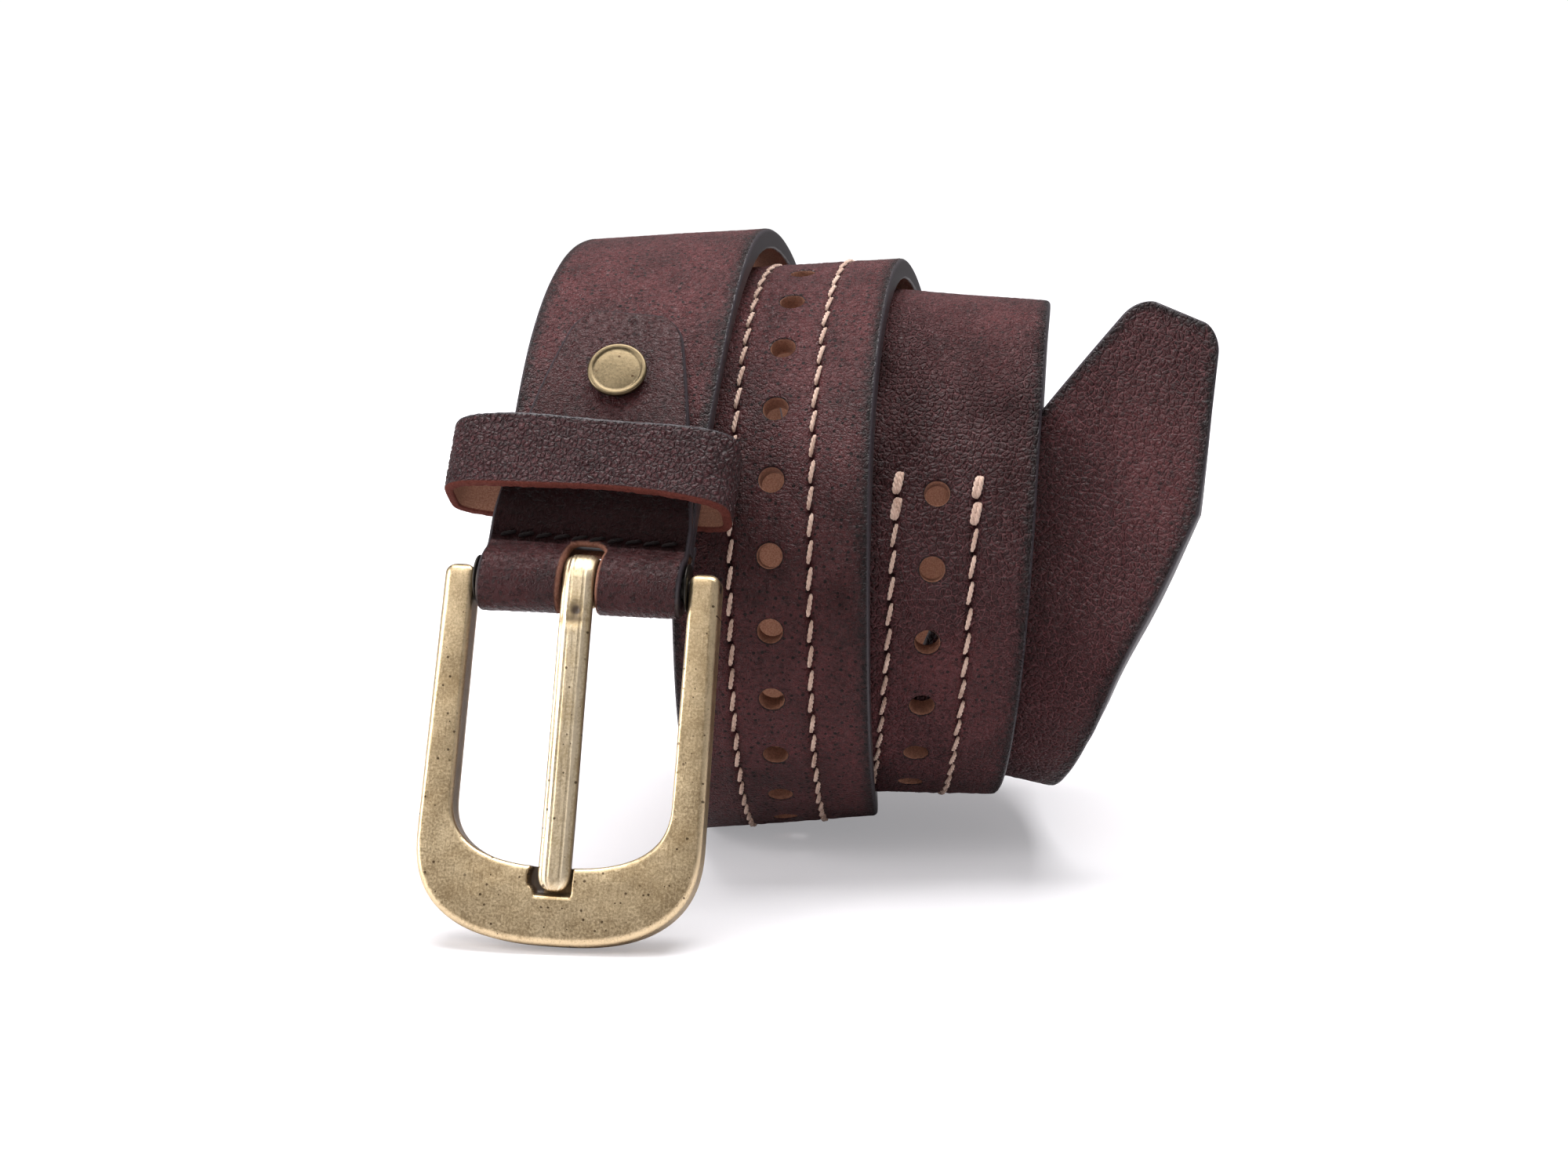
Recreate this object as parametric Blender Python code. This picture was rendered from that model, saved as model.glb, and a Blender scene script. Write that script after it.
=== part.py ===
"""Leather dress belt with a brass prong buckle, coiled into a cone that stands on its edge."""
import math

import bmesh
import bpy
from mathutils import Vector

MM = 0.001

# Strap
STRAP_WIDTH = 40.0 * MM
STRAP_THICK = 4.5 * MM
STRAP_START = 7.9 * MM
HALF_WIDTH = STRAP_WIDTH / 2
GAP = 0.3 * MM
HOLE_RADIUS = 2.5 * MM
HOLE_CELL = 4.0 * MM
HOLE_PITCH = 15.42 * MM
HOLE_COUNT = 35
FIRST_HOLE = 283.8 * MM
SIZE_HOLES = 5
SIZE_HOLE_PITCH = 25.0 * MM
SIZE_HOLE_FROM_TIP = 125.0 * MM
ROW_STEP = 8.6 * MM
TIP_TAPER = 36.0 * MM
TIP_HALF_WIDTH = 8.9 * MM
TIP_CORNER = 5.0 * MM
TIP_CORNER_SHARE = 0.8
TIP_CORNER_STOPS = (1.0, 0.55, 0.2, 0.0)

# Coil: the grain face follows a spiral whose turns slide sideways
COIL_RADIUS = 69.34 * MM
COIL_SHRINK = 6.587 * MM
COIL_DIP = 3.0 * MM
COIL_DIP_FROM = math.radians(1010)
COIL_DENTS = ((math.radians(275), -0.3 * MM), (math.radians(380), 1.3 * MM),
              (math.radians(650), 0.6 * MM), (math.radians(740), 0.7 * MM))
COIL_DENT_SPREAD = math.radians(40)
TURN_START = math.radians(22)
TURN_END = math.radians(1075)
TURN_STEP = math.radians(2)
DRIFT_FROM = math.radians(-20)
DRIFT_STEP = math.radians(60)
DRIFT = (-3.0, 3.1, 6.9, 14.0, 24.2, 31.7, 33.6, 33.9, 36.7, 42.9,
         49.7, 57.5, 64.6, 67.5, 68.5, 66.4, 66.8, 70.8, 84.5, 108.0)
CANT_WINDOW = math.radians(20)
BAR_TO_COIL = 27.9 * MM
FOOT_SKEW = math.tan(math.radians(3.8))
FOOT_SKEW_END = 18.0 * MM
TIP_RUN = 61.6 * MM
TIP_BEND_RADIUS = 200.0 * MM
TIP_SLANT = math.radians(22.9)
TIP_STEP = 2.0 * MM

# Chape: the folded leather that holds the bar
CHAPE_HALF_WIDTH = 20.1 * MM
CHAPE_LEG = 2.3 * MM
CHAPE_ROLL = 3.6 * MM
ROLL_RADIUS = 4.4 * MM
BAR_OUT = 0.8 * MM
CHAPE_BACK_END = 10.7 * MM
CHAPE_LEG_START = 7.4 * MM
TAB_NARROWS = 12.0 * MM
TAB_TOP = 58.7 * MM
TAB_TOP_HALF_WIDTH = 10.2 * MM
TAB_CORNER = 6.2 * MM
TAB_CORNER_DROP = 5.2 * MM
TAB_CURVE = 1.25
SLOT_HALF_WIDTH = 3.6 * MM
ROLL_START = math.radians(38)
ROLL_END = math.radians(-205)
ROLL_STEPS = 18
BEND_STEPS = 3
BEND_REACH = 0.4

# Rivet
RIVET_AT = 43.4 * MM
RIVET_RADIUS = 6.0 * MM
RIVET_SHANK = 1.9 * MM
RIVET_HEIGHT = 1.3 * MM
RIVET_RIM = 1.1 * MM
RIVET_RIM_SOFT = 0.5 * MM
RIVET_DIP = 0.25
RIVET_SIDES = 24
RIVET_BACK_RADIUS = 5.0 * MM
RIVET_BACK_HEIGHT = 1.0 * MM

# Keeper
KEEPER_AT = 24.4 * MM
KEEPER_BAND = 14.2 * MM
KEEPER_THICK = 1.8 * MM
KEEPER_HALF_WIDTH = 28.0 * MM
KEEPER_SHIFT = -1.8 * MM
KEEPER_SKEW = math.tan(math.radians(2.0))
KEEPER_DROOP = math.tan(math.radians(12))
KEEPER_FRONT = 8.2 * MM
KEEPER_FULLNESS = 0.64
KEEPER_FLATNESS = 0.3
KEEPER_BACK = -6.7 * MM
KEEPER_SIDES = 44
STAPLE_HALF_LENGTH = 4.5 * MM
STAPLE_TAPER = 0.6 * MM
STAPLE_RADIUS = 0.4 * MM
STAPLE_END_RADIUS = 0.25 * MM
STAPLE_SIDES = 6

# Buckle, measured from the bar axis
ARM_TOP = 2.6 * MM
ARM_TAPER = 0.5 * MM
FRAME_HALF_WIDTH = 27.9 * MM
OPENING_HALF_WIDTH = 21.5 * MM
FRAME_LENGTH = 70.8 * MM
OPENING_LENGTH = 56.0 * MM
FRAME_CORNER = 21.0 * MM
OPENING_CORNER = 13.5 * MM
FRAME_FRONT = 2.75 * MM
FRAME_BACK = 3.65 * MM
FRAME_SOFT = 1.1 * MM
FRAME_BACK_SOFT = 0.55 * MM
ARM_SHARE = 0.2
ARM_STOPS = (0.0, 0.015, 0.1, 0.2)
ARM_END_OUTER = 1.2 * MM
ARM_END_INNER = 0.8 * MM
BEND_RINGS = 24
CORNER_POWER = 2.6
NOTCH_LEFT = -5.2 * MM
NOTCH_RIGHT = 3.5 * MM
NOTCH_LENGTH = 5.8 * MM
NOTCH_DEPTH = 2.2 * MM
NOTCH_DRAFT = 0.5 * MM
BAR_RADIUS = 2.2 * MM
BAR_END_RADIUS = 1.6 * MM
BAR_COLLAR_RADIUS = 4.7 * MM
BAR_SIDES = 16
BUCKLE_LEAN = math.radians(-2)

# Prong
PRONG_WIDTH = 6.2 * MM
PRONG_THICK = 2.9 * MM
PRONG_EYE = 4.2 * MM
PRONG_LENGTH = 60.0 * MM
PRONG_SEAT = 0.4 * MM
PRONG_CURL = math.pi + math.radians(70)
PRONG_CURL_STEPS = 12
PRONG_STEPS = 8
PRONG_TIP = 3.0 * MM
PRONG_BEVEL_WIDTH = 1.3 * MM
PRONG_BEVEL_DEPTH = 0.9 * MM

# Threads
THREAD = 0.9 * MM
THREAD_LOW = 0.4 * MM
THREAD_LIFT = 0.2 * MM
THREAD_ROW = 8.05 * MM
THREAD_OVERRUN = 4.6 * MM
CORNERS = ((-1, -1), (-1, 1), (1, 1), (1, -1))
SEAM_AT = 8.6 * MM
SEAM_HALF_LENGTH = 18.0 * MM


def clear_scene():
    for item in list(bpy.data.objects):
        bpy.data.objects.remove(item, do_unlink=True)


def ease(value):
    value = min(1.0, max(0.0, value))
    return value * value * (3 - 2 * value)


def mix(first, second, share):
    return first + (second - first) * share


# ---------------------------------------------------------------- coil

def drift(turn):
    """Sideways place of the centre line at a turn angle, a smooth curve through DRIFT."""
    place = (turn - DRIFT_FROM) / DRIFT_STEP
    index = min(len(DRIFT) - 2, max(0, int(place)))
    share = place - index
    left = DRIFT[max(0, index - 1)]
    start = DRIFT[index]
    end = DRIFT[index + 1]
    right = DRIFT[min(len(DRIFT) - 1, index + 2)]
    slope_in = (end - left) / 2
    slope_out = (right - start) / 2
    square = share * share
    cube = square * share
    value = ((2 * cube - 3 * square + 1) * start + (cube - 2 * square + share) * slope_in
             + (3 * square - 2 * cube) * end + (cube - square) * slope_out)
    return value * MM


def coil_radius(turn):
    dip = COIL_DIP * max(0.0, turn - COIL_DIP_FROM) ** 2
    dent = 0.0
    for middle, depth in COIL_DENTS:
        dent += depth * math.exp(-((turn - middle) / COIL_DENT_SPREAD) ** 2)
    return COIL_RADIUS - COIL_SHRINK * turn / math.tau - dip - dent


def coil_point(turn):
    radius = coil_radius(turn)
    return Vector((drift(turn), -radius * math.cos(turn), radius * math.sin(turn)))


def coil_heading(turn):
    small = math.radians(1)
    return (coil_point(turn + small) - coil_point(turn - small)).normalized()


def coil_cant(turn):
    """Tilt of the strap across its width, set by how the centre line bends sideways."""
    middle = min(max(turn, TURN_START + CANT_WINDOW), TURN_END - CANT_WINDOW)
    bend = coil_heading(middle + CANT_WINDOW) - coil_heading(middle - CANT_WINDOW)
    across, out = square_axes(coil_heading(middle), middle)
    cant = math.atan2(-bend.dot(across), -bend.dot(out))
    return cant * ease((turn - TURN_START) / CANT_WINDOW)


def square_axes(heading, turn):
    radial = Vector((0, -math.cos(turn), math.sin(turn)))
    out = (radial - heading * radial.dot(heading)).normalized()
    return heading.cross(out), out


def make_frame(run, point, heading, turn, cant):
    across, out = square_axes(heading, turn)
    tilted = across * math.cos(cant) - out * math.sin(cant)
    raised = out * math.cos(cant) + across * math.sin(cant)
    return (run, point, heading, tilted, raised)


def slanted_heading(turn, slant):
    return Vector((math.sin(slant), math.cos(slant) * math.sin(turn), math.cos(slant) * math.cos(turn)))


def strap_frames():
    """Frames along the grain face, from the bar foot at run zero to the tip."""
    heading = coil_heading(TURN_START)
    start = coil_point(TURN_START)
    frames = [make_frame(0.0, start - heading * BAR_TO_COIL, heading, TURN_START, 0.0)]
    steps = round((TURN_END - TURN_START) / TURN_STEP)
    run = BAR_TO_COIL
    before = start
    for index in range(steps + 1):
        turn = TURN_START + index * TURN_STEP
        point = coil_point(turn)
        run += (point - before).length
        before = point
        frames.append(make_frame(run, point, coil_heading(turn), turn, coil_cant(turn)))
    end_cant = coil_cant(TURN_END)
    end_heading = frames[-1][2]
    end_run = run
    pieces = round(TIP_RUN / TIP_STEP)
    for index in range(1, pieces + 1):
        run = end_run + index * TIP_STEP
        share = index / pieces
        turn = TURN_END + (run - end_run) / TIP_BEND_RADIUS
        straight = slanted_heading(turn, TIP_SLANT)
        heading = end_heading.lerp(straight, ease(4 * share)).normalized()
        before = before + heading * TIP_STEP
        frames.append(make_frame(run, before, heading, turn, end_cant * (1 - ease(share))))
    return frames


def place(frames, run, across, out):
    """Point at a distance along the strap, across it and out from its grain face."""
    run += across * FOOT_SKEW * (1 - ease(run / FOOT_SKEW_END))
    low = 0
    high = len(frames) - 1
    while high - low > 1:
        middle = (low + high) // 2
        if frames[middle][0] <= run:
            low = middle
        else:
            high = middle
    first = frames[low]
    second = frames[high]
    share = min(1.0, (run - first[0]) / (second[0] - first[0]))
    point = first[1].lerp(second[1], share) if share > 0 else first[1] + first[2] * (run - first[0])
    side = first[3].lerp(second[3], max(0.0, share))
    rise = first[4].lerp(second[4], max(0.0, share))
    return point + side * across + rise * out


def strap_length(frames):
    return frames[-1][0]


# ---------------------------------------------------------------- sheets

def flat_pattern(runs, sides, holes, missing):
    """Flat mesh of a sheet: grid points, faces and round holes inside chosen cells."""
    points = [(run, side) for run in runs for side in sides]
    width = len(sides)
    faces = []
    for row in range(len(runs) - 1):
        for column in range(width - 1):
            corners = [row * width + column, row * width + column + 1,
                       (row + 1) * width + column + 1, (row + 1) * width + column]
            if (row, column) in holes:
                faces += hole_faces(points, corners, *holes[(row, column)])
            elif (row, column) not in missing:
                faces.append(corners)
    return points, faces


def hole_faces(points, corners, radius_run, radius_side):
    """Four faces between the corners of a cell and an eight-sided hole in its middle."""
    middle_run = (points[corners[0]][0] + points[corners[2]][0]) / 2
    middle_side = (points[corners[0]][1] + points[corners[2]][1]) / 2
    base = len(points)
    for index in range(8):
        angle = math.radians(45 * index - 135)
        points.append((middle_run + radius_run * math.cos(angle),
                       middle_side + radius_side * math.sin(angle)))
    around = [corners[0], corners[3], corners[2], corners[1]]
    faces = []
    for index in range(4):
        ring = [base + (2 * index + step) % 8 for step in range(3)]
        faces.append([around[index], *ring, around[(index + 1) % 4]])
    return faces


def thick_sheet(points, faces, put):
    """Closed body from a flat pattern: put(run, side, top) gives each point of either face."""
    vertices = [put(run, side, True) for run, side in points]
    vertices += [put(run, side, False) for run, side in points]
    count = len(points)
    solid = [list(face) for face in faces]
    solid += [[item + count for item in reversed(face)] for face in faces]
    edges = set()
    for face in faces:
        for index, item in enumerate(face):
            edges.add((item, face[(index + 1) % len(face)]))
    seen = set()
    for first, second in edges:
        seen.add((first, second))
    for first, second in sorted(edges):
        if (second, first) not in seen:
            solid.append([second, first, first + count, second + count])
    return vertices, solid


def tube_rings(rings):
    """Closed body through a row of equal point rings, capped at both ends."""
    size = len(rings[0])
    vertices = [point for ring in rings for point in ring]
    faces = []
    for row in range(len(rings) - 1):
        for index in range(size):
            after = (index + 1) % size
            faces.append([row * size + index, row * size + after,
                          (row + 1) * size + after, (row + 1) * size + index])
    faces.append(list(range(size)))
    faces.append([(len(rings) - 1) * size + index for index in range(size)])
    return vertices, faces


def closed_rings(rings):
    """Closed loop body: the last ring joins the first."""
    size = len(rings[0])
    vertices = [point for ring in rings for point in ring]
    faces = []
    for row in range(len(rings)):
        following = (row + 1) % len(rings)
        for index in range(size):
            after = (index + 1) % size
            faces.append([row * size + index, row * size + after,
                          following * size + after, following * size + index])
    return vertices, faces


def add_body(name, vertices, faces, material, origin=None):
    mesh = bpy.data.meshes.new(name)
    shape = bmesh.new()
    start = origin or Vector()
    made = [shape.verts.new(Vector(point) - start) for point in vertices]
    for face in faces:
        shape.faces.new([made[index] for index in face])
    loose = [vertex for vertex in shape.verts if not vertex.link_faces]
    bmesh.ops.delete(shape, geom=loose, context="VERTS")
    bmesh.ops.triangulate(shape, faces=shape.faces[:])
    bmesh.ops.recalc_face_normals(shape, faces=shape.faces[:])
    shape.to_mesh(mesh)
    shape.free()
    body = bpy.data.objects.new(name, mesh)
    body.location = start
    bpy.context.scene.collection.objects.link(body)
    mesh.materials.append(material)
    return body


def surface(name, color, metallic, roughness):
    material = bpy.data.materials.new(name)
    material.use_nodes = True
    shader = material.node_tree.nodes["Principled BSDF"]
    shader.inputs["Base Color"].default_value = (*color, 1)
    shader.inputs["Metallic"].default_value = metallic
    shader.inputs["Roughness"].default_value = roughness
    return material


# ---------------------------------------------------------------- strap

def hole_runs(length):
    runs = [FIRST_HOLE + index * HOLE_PITCH for index in range(HOLE_COUNT)]
    last = length - SIZE_HOLE_FROM_TIP
    runs += [last - index * SIZE_HOLE_PITCH for index in range(SIZE_HOLES)]
    return sorted([RIVET_AT] + runs)


def fill_runs(stops, step):
    runs = [stops[0]]
    for stop in stops[1:]:
        pieces = max(1, math.ceil((stop - runs[-1]) / step - 0.01))
        start = runs[-1]
        runs += [mix(start, stop, (index + 1) / pieces) for index in range(pieces)]
    return runs


def tip_half_width(run, length):
    """Half width near the tip: a straight taper with rounded corners at the end."""
    share = max(0.0, (run - (length - TIP_TAPER)) / TIP_TAPER)
    width = mix(HALF_WIDTH, TIP_HALF_WIDTH, share)
    left = length - run
    if left < TIP_CORNER:
        drop = TIP_CORNER - math.sqrt(max(0.0, TIP_CORNER ** 2 - (TIP_CORNER - left) ** 2))
        width -= drop * TIP_CORNER_SHARE
    return width


def build_strap(frames, material):
    length = strap_length(frames)
    centres = hole_runs(length)
    stops = [STRAP_START]
    for centre in centres:
        stops += [centre - HOLE_CELL, centre + HOLE_CELL]
    stops.append(length - TIP_TAPER)
    stops += [length - share * TIP_CORNER for share in TIP_CORNER_STOPS]
    runs = fill_runs(stops, ROW_STEP)
    sides = [-HALF_WIDTH, -HOLE_CELL, HOLE_CELL, HALF_WIDTH]
    holes = {}
    for row in range(len(runs) - 1):
        middle = (runs[row] + runs[row + 1]) / 2
        if any(abs(middle - centre) < GAP for centre in centres):
            holes[(row, 1)] = (HOLE_RADIUS, HOLE_RADIUS)
    points, faces = flat_pattern(runs, sides, holes, set())

    def put(run, side, top):
        limit = tip_half_width(run, length)
        side = min(limit, max(-limit, side))
        return place(frames, run, side, 0.0 if top else -STRAP_THICK)

    vertices, solid = thick_sheet(points, faces, put)
    return add_body("strap", vertices, solid, material)


# ---------------------------------------------------------------- chape

def chape_line():
    """Middle line of the folded leather, from the tab top round the bar, as (run, out, thickness)."""
    line = []
    leg_out = GAP + CHAPE_LEG / 2
    stops = [CHAPE_LEG_START, RIVET_AT - HOLE_CELL, RIVET_AT + HOLE_CELL, TAB_TOP - TAB_CORNER,
             TAB_TOP - TAB_CORNER / 2, TAB_TOP - TAB_CORNER / 6, TAB_TOP]
    for run in reversed(fill_runs(stops, ROW_STEP)):
        line.append((run, leg_out, CHAPE_LEG))
    start = Vector((CHAPE_LEG_START, leg_out))
    line += curve_points(start, Vector((-1, 0)), roll_point(ROLL_START), roll_heading(ROLL_START),
                         CHAPE_LEG, CHAPE_ROLL)
    for index in range(ROLL_STEPS + 1):
        spot = roll_point(mix(ROLL_START, ROLL_END, index / ROLL_STEPS))
        line.append((spot.x, spot.y, CHAPE_ROLL))
    back_out = -STRAP_THICK - GAP - CHAPE_LEG / 2
    finish = Vector((CHAPE_LEG_START, back_out))
    line += curve_points(roll_point(ROLL_END), roll_heading(ROLL_END), finish, Vector((1, 0)),
                         CHAPE_ROLL, CHAPE_LEG)
    line.append((CHAPE_LEG_START, back_out, CHAPE_LEG))
    line.append((CHAPE_BACK_END, back_out, CHAPE_LEG))
    return line


def roll_point(angle):
    return Vector((ROLL_RADIUS * math.sin(angle), BAR_OUT + ROLL_RADIUS * math.cos(angle)))


def roll_heading(angle):
    return Vector((-math.cos(angle), math.sin(angle)))


def curve_points(start, heading_in, end, heading_out, thick_in, thick_out):
    """Points strictly between two ends of a smooth bend."""
    reach = (end - start).length * BEND_REACH
    near = start + heading_in * reach
    far = end - heading_out * reach
    points = []
    for index in range(1, BEND_STEPS):
        share = index / BEND_STEPS
        rest = 1 - share
        spot = (start * rest ** 3 + near * (3 * rest * rest * share) + far * (3 * rest * share * share)
                + end * share ** 3)
        points.append((spot.x, spot.y, mix(thick_in, thick_out, ease(share))))
    return points


def tab_half_width(run):
    """Half width of the tab: a curved taper that ends in two rounded corners."""
    if run < TAB_NARROWS:
        return CHAPE_HALF_WIDTH
    share = (run - TAB_NARROWS) / (TAB_TOP - TAB_NARROWS)
    width = mix(CHAPE_HALF_WIDTH, TAB_TOP_HALF_WIDTH, share ** TAB_CURVE)
    left = (TAB_TOP - run) / TAB_CORNER
    if left < 1:
        width -= TAB_CORNER_DROP * (1 - math.sqrt(max(0.0, 1 - (1 - left) ** 2)))
    return width


def line_normal(line, row):
    """Direction across the leather at a row of its middle line."""
    before = line[max(0, row - 1)]
    after = line[min(len(line) - 1, row + 1)]
    heading = Vector((after[0] - before[0], after[1] - before[1])).normalized()
    return Vector((heading.y, -heading.x))


def build_chape(frames, material):
    line = chape_line()
    rows = list(range(len(line)))
    sides = [-CHAPE_HALF_WIDTH, -HOLE_CELL, HOLE_CELL, CHAPE_HALF_WIDTH]
    leg_rows = [row for row in rows if line[row][0] > CHAPE_LEG_START]
    slot_from = next(row for row in rows if line[row][0] <= CHAPE_LEG_START)
    slot_to = max(row for row in rows if line[row][0] <= CHAPE_LEG_START) - 1
    missing = {(row, 1) for row in range(slot_from, slot_to)}
    holes = {}
    for row in leg_rows[:slot_from]:
        if abs((line[row][0] + line[row + 1][0]) / 2 - RIVET_AT) < GAP:
            holes[(row, 1)] = (HOLE_RADIUS / (2 * HOLE_CELL), HOLE_RADIUS)
    points, faces = flat_pattern(rows, sides, holes, missing)

    def put(row, side, top):
        index = min(len(line) - 2, int(row))
        share = row - index
        run, out, thick = (mix(line[index][axis], line[index + 1][axis], share) for axis in range(3))
        offset = line_normal(line, round(row)) * (thick / 2 if top else -thick / 2)
        if row < slot_from:
            limit = tab_half_width(run)
            side = min(limit, max(-limit, side))
        if abs(side) == HOLE_CELL and slot_from <= row <= slot_to:
            side = math.copysign(SLOT_HALF_WIDTH, side)
        return place(frames, run + offset.x, side, out + offset.y)

    vertices, solid = thick_sheet(points, faces, put)
    return add_body("chape", vertices, solid, material)


# ---------------------------------------------------------------- rivet

def turned(frames, run, profile, sides):
    """Rings of a body turned about the axis that stands out of the strap at a run."""
    centre = place(frames, run, 0.0, 0.0)
    rise = (place(frames, run, 0.0, MM) - centre).normalized()
    across = (place(frames, run, MM, 0.0) - centre).normalized()
    along = rise.cross(across).normalized()
    rings = []
    for radius, out in profile:
        ring = []
        for index in range(sides):
            angle = math.tau * index / sides
            spot = along * math.cos(angle) + across * math.sin(angle)
            ring.append(centre + spot * radius + rise * out)
        rings.append(ring)
    return rings


def build_rivet(frames, material):
    """Cap with a raised rim on a shank, and the plate it is set into behind the strap."""
    base = 2 * GAP + CHAPE_LEG
    top = base + RIVET_HEIGHT
    dip = RIVET_DIP * RIVET_HEIGHT
    profile = [(RIVET_SHANK, -STRAP_THICK - GAP / 2), (RIVET_SHANK, base), (RIVET_RADIUS, base + GAP / 3),
               (RIVET_RADIUS, top - dip), (RIVET_RADIUS - RIVET_RIM_SOFT, top), (RIVET_RADIUS - RIVET_RIM, top),
               (RIVET_RADIUS - RIVET_RIM - RIVET_RIM_SOFT, top - dip), (RIVET_SHANK, top - dip / 2)]
    vertices, faces = tube_rings(turned(frames, RIVET_AT, profile, RIVET_SIDES))
    add_body("rivet_cap", vertices, faces, material)
    low = -STRAP_THICK - 2 * GAP
    profile = [(RIVET_BACK_RADIUS, low), (RIVET_BACK_RADIUS, low - RIVET_BACK_HEIGHT / 2),
               (RIVET_BACK_RADIUS - RIVET_RIM, low - RIVET_BACK_HEIGHT)]
    vertices, faces = tube_rings(turned(frames, RIVET_AT, profile, RIVET_SIDES))
    add_body("rivet_back", vertices, faces, material)


# ---------------------------------------------------------------- keeper

def keeper_loop(inset):
    """Outline of the loop across the strap: full in front, flat behind."""
    outline = []
    middle = (KEEPER_FRONT + KEEPER_BACK) / 2
    half = (KEEPER_FRONT - KEEPER_BACK) / 2
    for index in range(KEEPER_SIDES):
        angle = math.tau * index / KEEPER_SIDES
        cosine = math.cos(angle)
        sine = math.sin(angle)
        power = KEEPER_FULLNESS if sine > 0 else KEEPER_FLATNESS
        across = math.copysign(abs(cosine) ** power, cosine) * (KEEPER_HALF_WIDTH - inset)
        out = math.copysign(abs(sine) ** power, sine) * (half - inset)
        outline.append((KEEPER_SHIFT + across, middle + out))
    return outline


def keeper_slope(across, out):
    """The loop sits a little askew and hangs lower behind."""
    return across * KEEPER_SKEW + (out - KEEPER_FRONT) * KEEPER_DROOP


def build_keeper(frames, leather):
    inside = keeper_loop(KEEPER_THICK / 2)
    outside = keeper_loop(-KEEPER_THICK / 2)
    rings = []
    for inner, outer in zip(inside, outside):
        ring = []
        for end, spot in ((-1, inner), (-1, outer), (1, outer), (1, inner)):
            along = KEEPER_AT + end * KEEPER_BAND / 2 + keeper_slope(*spot)
            ring.append(place_straight(frames, along, *spot))
        rings.append(ring)
    vertices, faces = closed_rings(rings)
    return add_body("keeper_loop", vertices, faces, leather)


def build_staple(frames, steel):
    """Wire that closes the keeper behind the strap."""
    near = KEEPER_BACK - KEEPER_THICK / 2 - GAP
    middle = near - STAPLE_RADIUS
    full = STAPLE_HALF_LENGTH - STAPLE_TAPER
    rings = []
    for side, radius in ((-STAPLE_HALF_LENGTH, STAPLE_END_RADIUS), (-full, STAPLE_RADIUS),
                         (full, STAPLE_RADIUS), (STAPLE_HALF_LENGTH, STAPLE_END_RADIUS)):
        ring = []
        for index in range(STAPLE_SIDES):
            angle = math.tau * index / STAPLE_SIDES
            along = KEEPER_AT + radius * math.cos(angle) + keeper_slope(side, near)
            ring.append(place_straight(frames, along, KEEPER_SHIFT + side, middle + radius * math.sin(angle)))
        rings.append(ring)
    vertices, faces = tube_rings(rings)
    return add_body("keeper_staple", vertices, faces, steel)


def place_straight(frames, run, across, out):
    """Point in the straight frame of the strap foot, which the buckle and the keeper share."""
    first = frames[0]
    return first[1] + first[2] * run + first[3] * across + first[4] * out


# ---------------------------------------------------------------- buckle

def bar_place(frames, along, across, out):
    """Point in the buckle frame: along runs up the strap from the bar axis."""
    cosine = math.cos(BUCKLE_LEAN)
    sine = math.sin(BUCKLE_LEAN)
    twist = math.atan(FOOT_SKEW)
    leaned = along * cosine + out * sine
    up = leaned * math.cos(twist) + across * math.sin(twist)
    side = across * math.cos(twist) - leaned * math.sin(twist)
    return place_straight(frames, up, side, BAR_OUT - along * sine + out * cosine)


def frame_edge(share, half_width, length, corner, taper):
    """Point on a U outline, share 0 at the left arm top, 1 at the right arm top."""
    if share < ARM_SHARE or share > 1 - ARM_SHARE:
        down = min(share, 1 - share) / ARM_SHARE
        side = -1 if share < ARM_SHARE else 1
        return side * (half_width - taper * (1 - down)), mix(ARM_TOP, corner - length, down)
    angle = math.pi * (share - ARM_SHARE) / (1 - 2 * ARM_SHARE)
    cosine = math.cos(angle)
    sine = max(0.0, math.sin(angle))
    across = -math.copysign(abs(cosine) ** (2 / CORNER_POWER), cosine) * half_width
    return across, corner - length - sine ** (2 / CORNER_POWER) * corner


def frame_shares():
    bend = [mix(ARM_SHARE, 1 - ARM_SHARE, index / BEND_RINGS) for index in range(1, BEND_RINGS)]
    return [*ARM_STOPS, *bend, *(1 - share for share in reversed(ARM_STOPS))]


def build_frame(frames, material, origin):
    """U-shaped frame with soft front edges, holes for the bar and a rest for the prong."""
    soft = FRAME_SOFT
    back = FRAME_BACK_SOFT
    rings = []
    for share in frame_shares():
        outer = Vector(frame_edge(share, FRAME_HALF_WIDTH, FRAME_LENGTH, FRAME_CORNER, ARM_TAPER))
        inner = Vector(frame_edge(share, OPENING_HALF_WIDTH, OPENING_LENGTH, OPENING_CORNER, 0.0))
        inward = (inner - outer).normalized()
        if share in (0, 1):
            outer += inward * ARM_END_OUTER
            inner -= inward * ARM_END_INNER
        section = [(outer, back - FRAME_BACK), (outer, FRAME_FRONT - soft),
                   (outer + inward * soft, FRAME_FRONT), (inner - inward * soft, FRAME_FRONT),
                   (inner, FRAME_FRONT - soft), (inner, back - FRAME_BACK),
                   (inner - inward * back, -FRAME_BACK), (outer + inward * back, -FRAME_BACK)]
        rings.append([bar_place(frames, spot.y, spot.x, out) for spot, out in section])
    vertices, faces = tube_rings(rings)
    body = add_body("buckle_frame", vertices, faces, material, origin)
    cut_body(body, bar_cutter(frames, material, origin))
    cut_body(body, notch_cutter(frames, material, origin))
    return body


def cut_body(body, cutter):
    step = body.modifiers.new(cutter.name, "BOOLEAN")
    step.operation = "DIFFERENCE"
    step.solver = "EXACT"
    step.object = cutter
    cutter.hide_render = True
    cutter.display_type = "WIRE"


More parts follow.
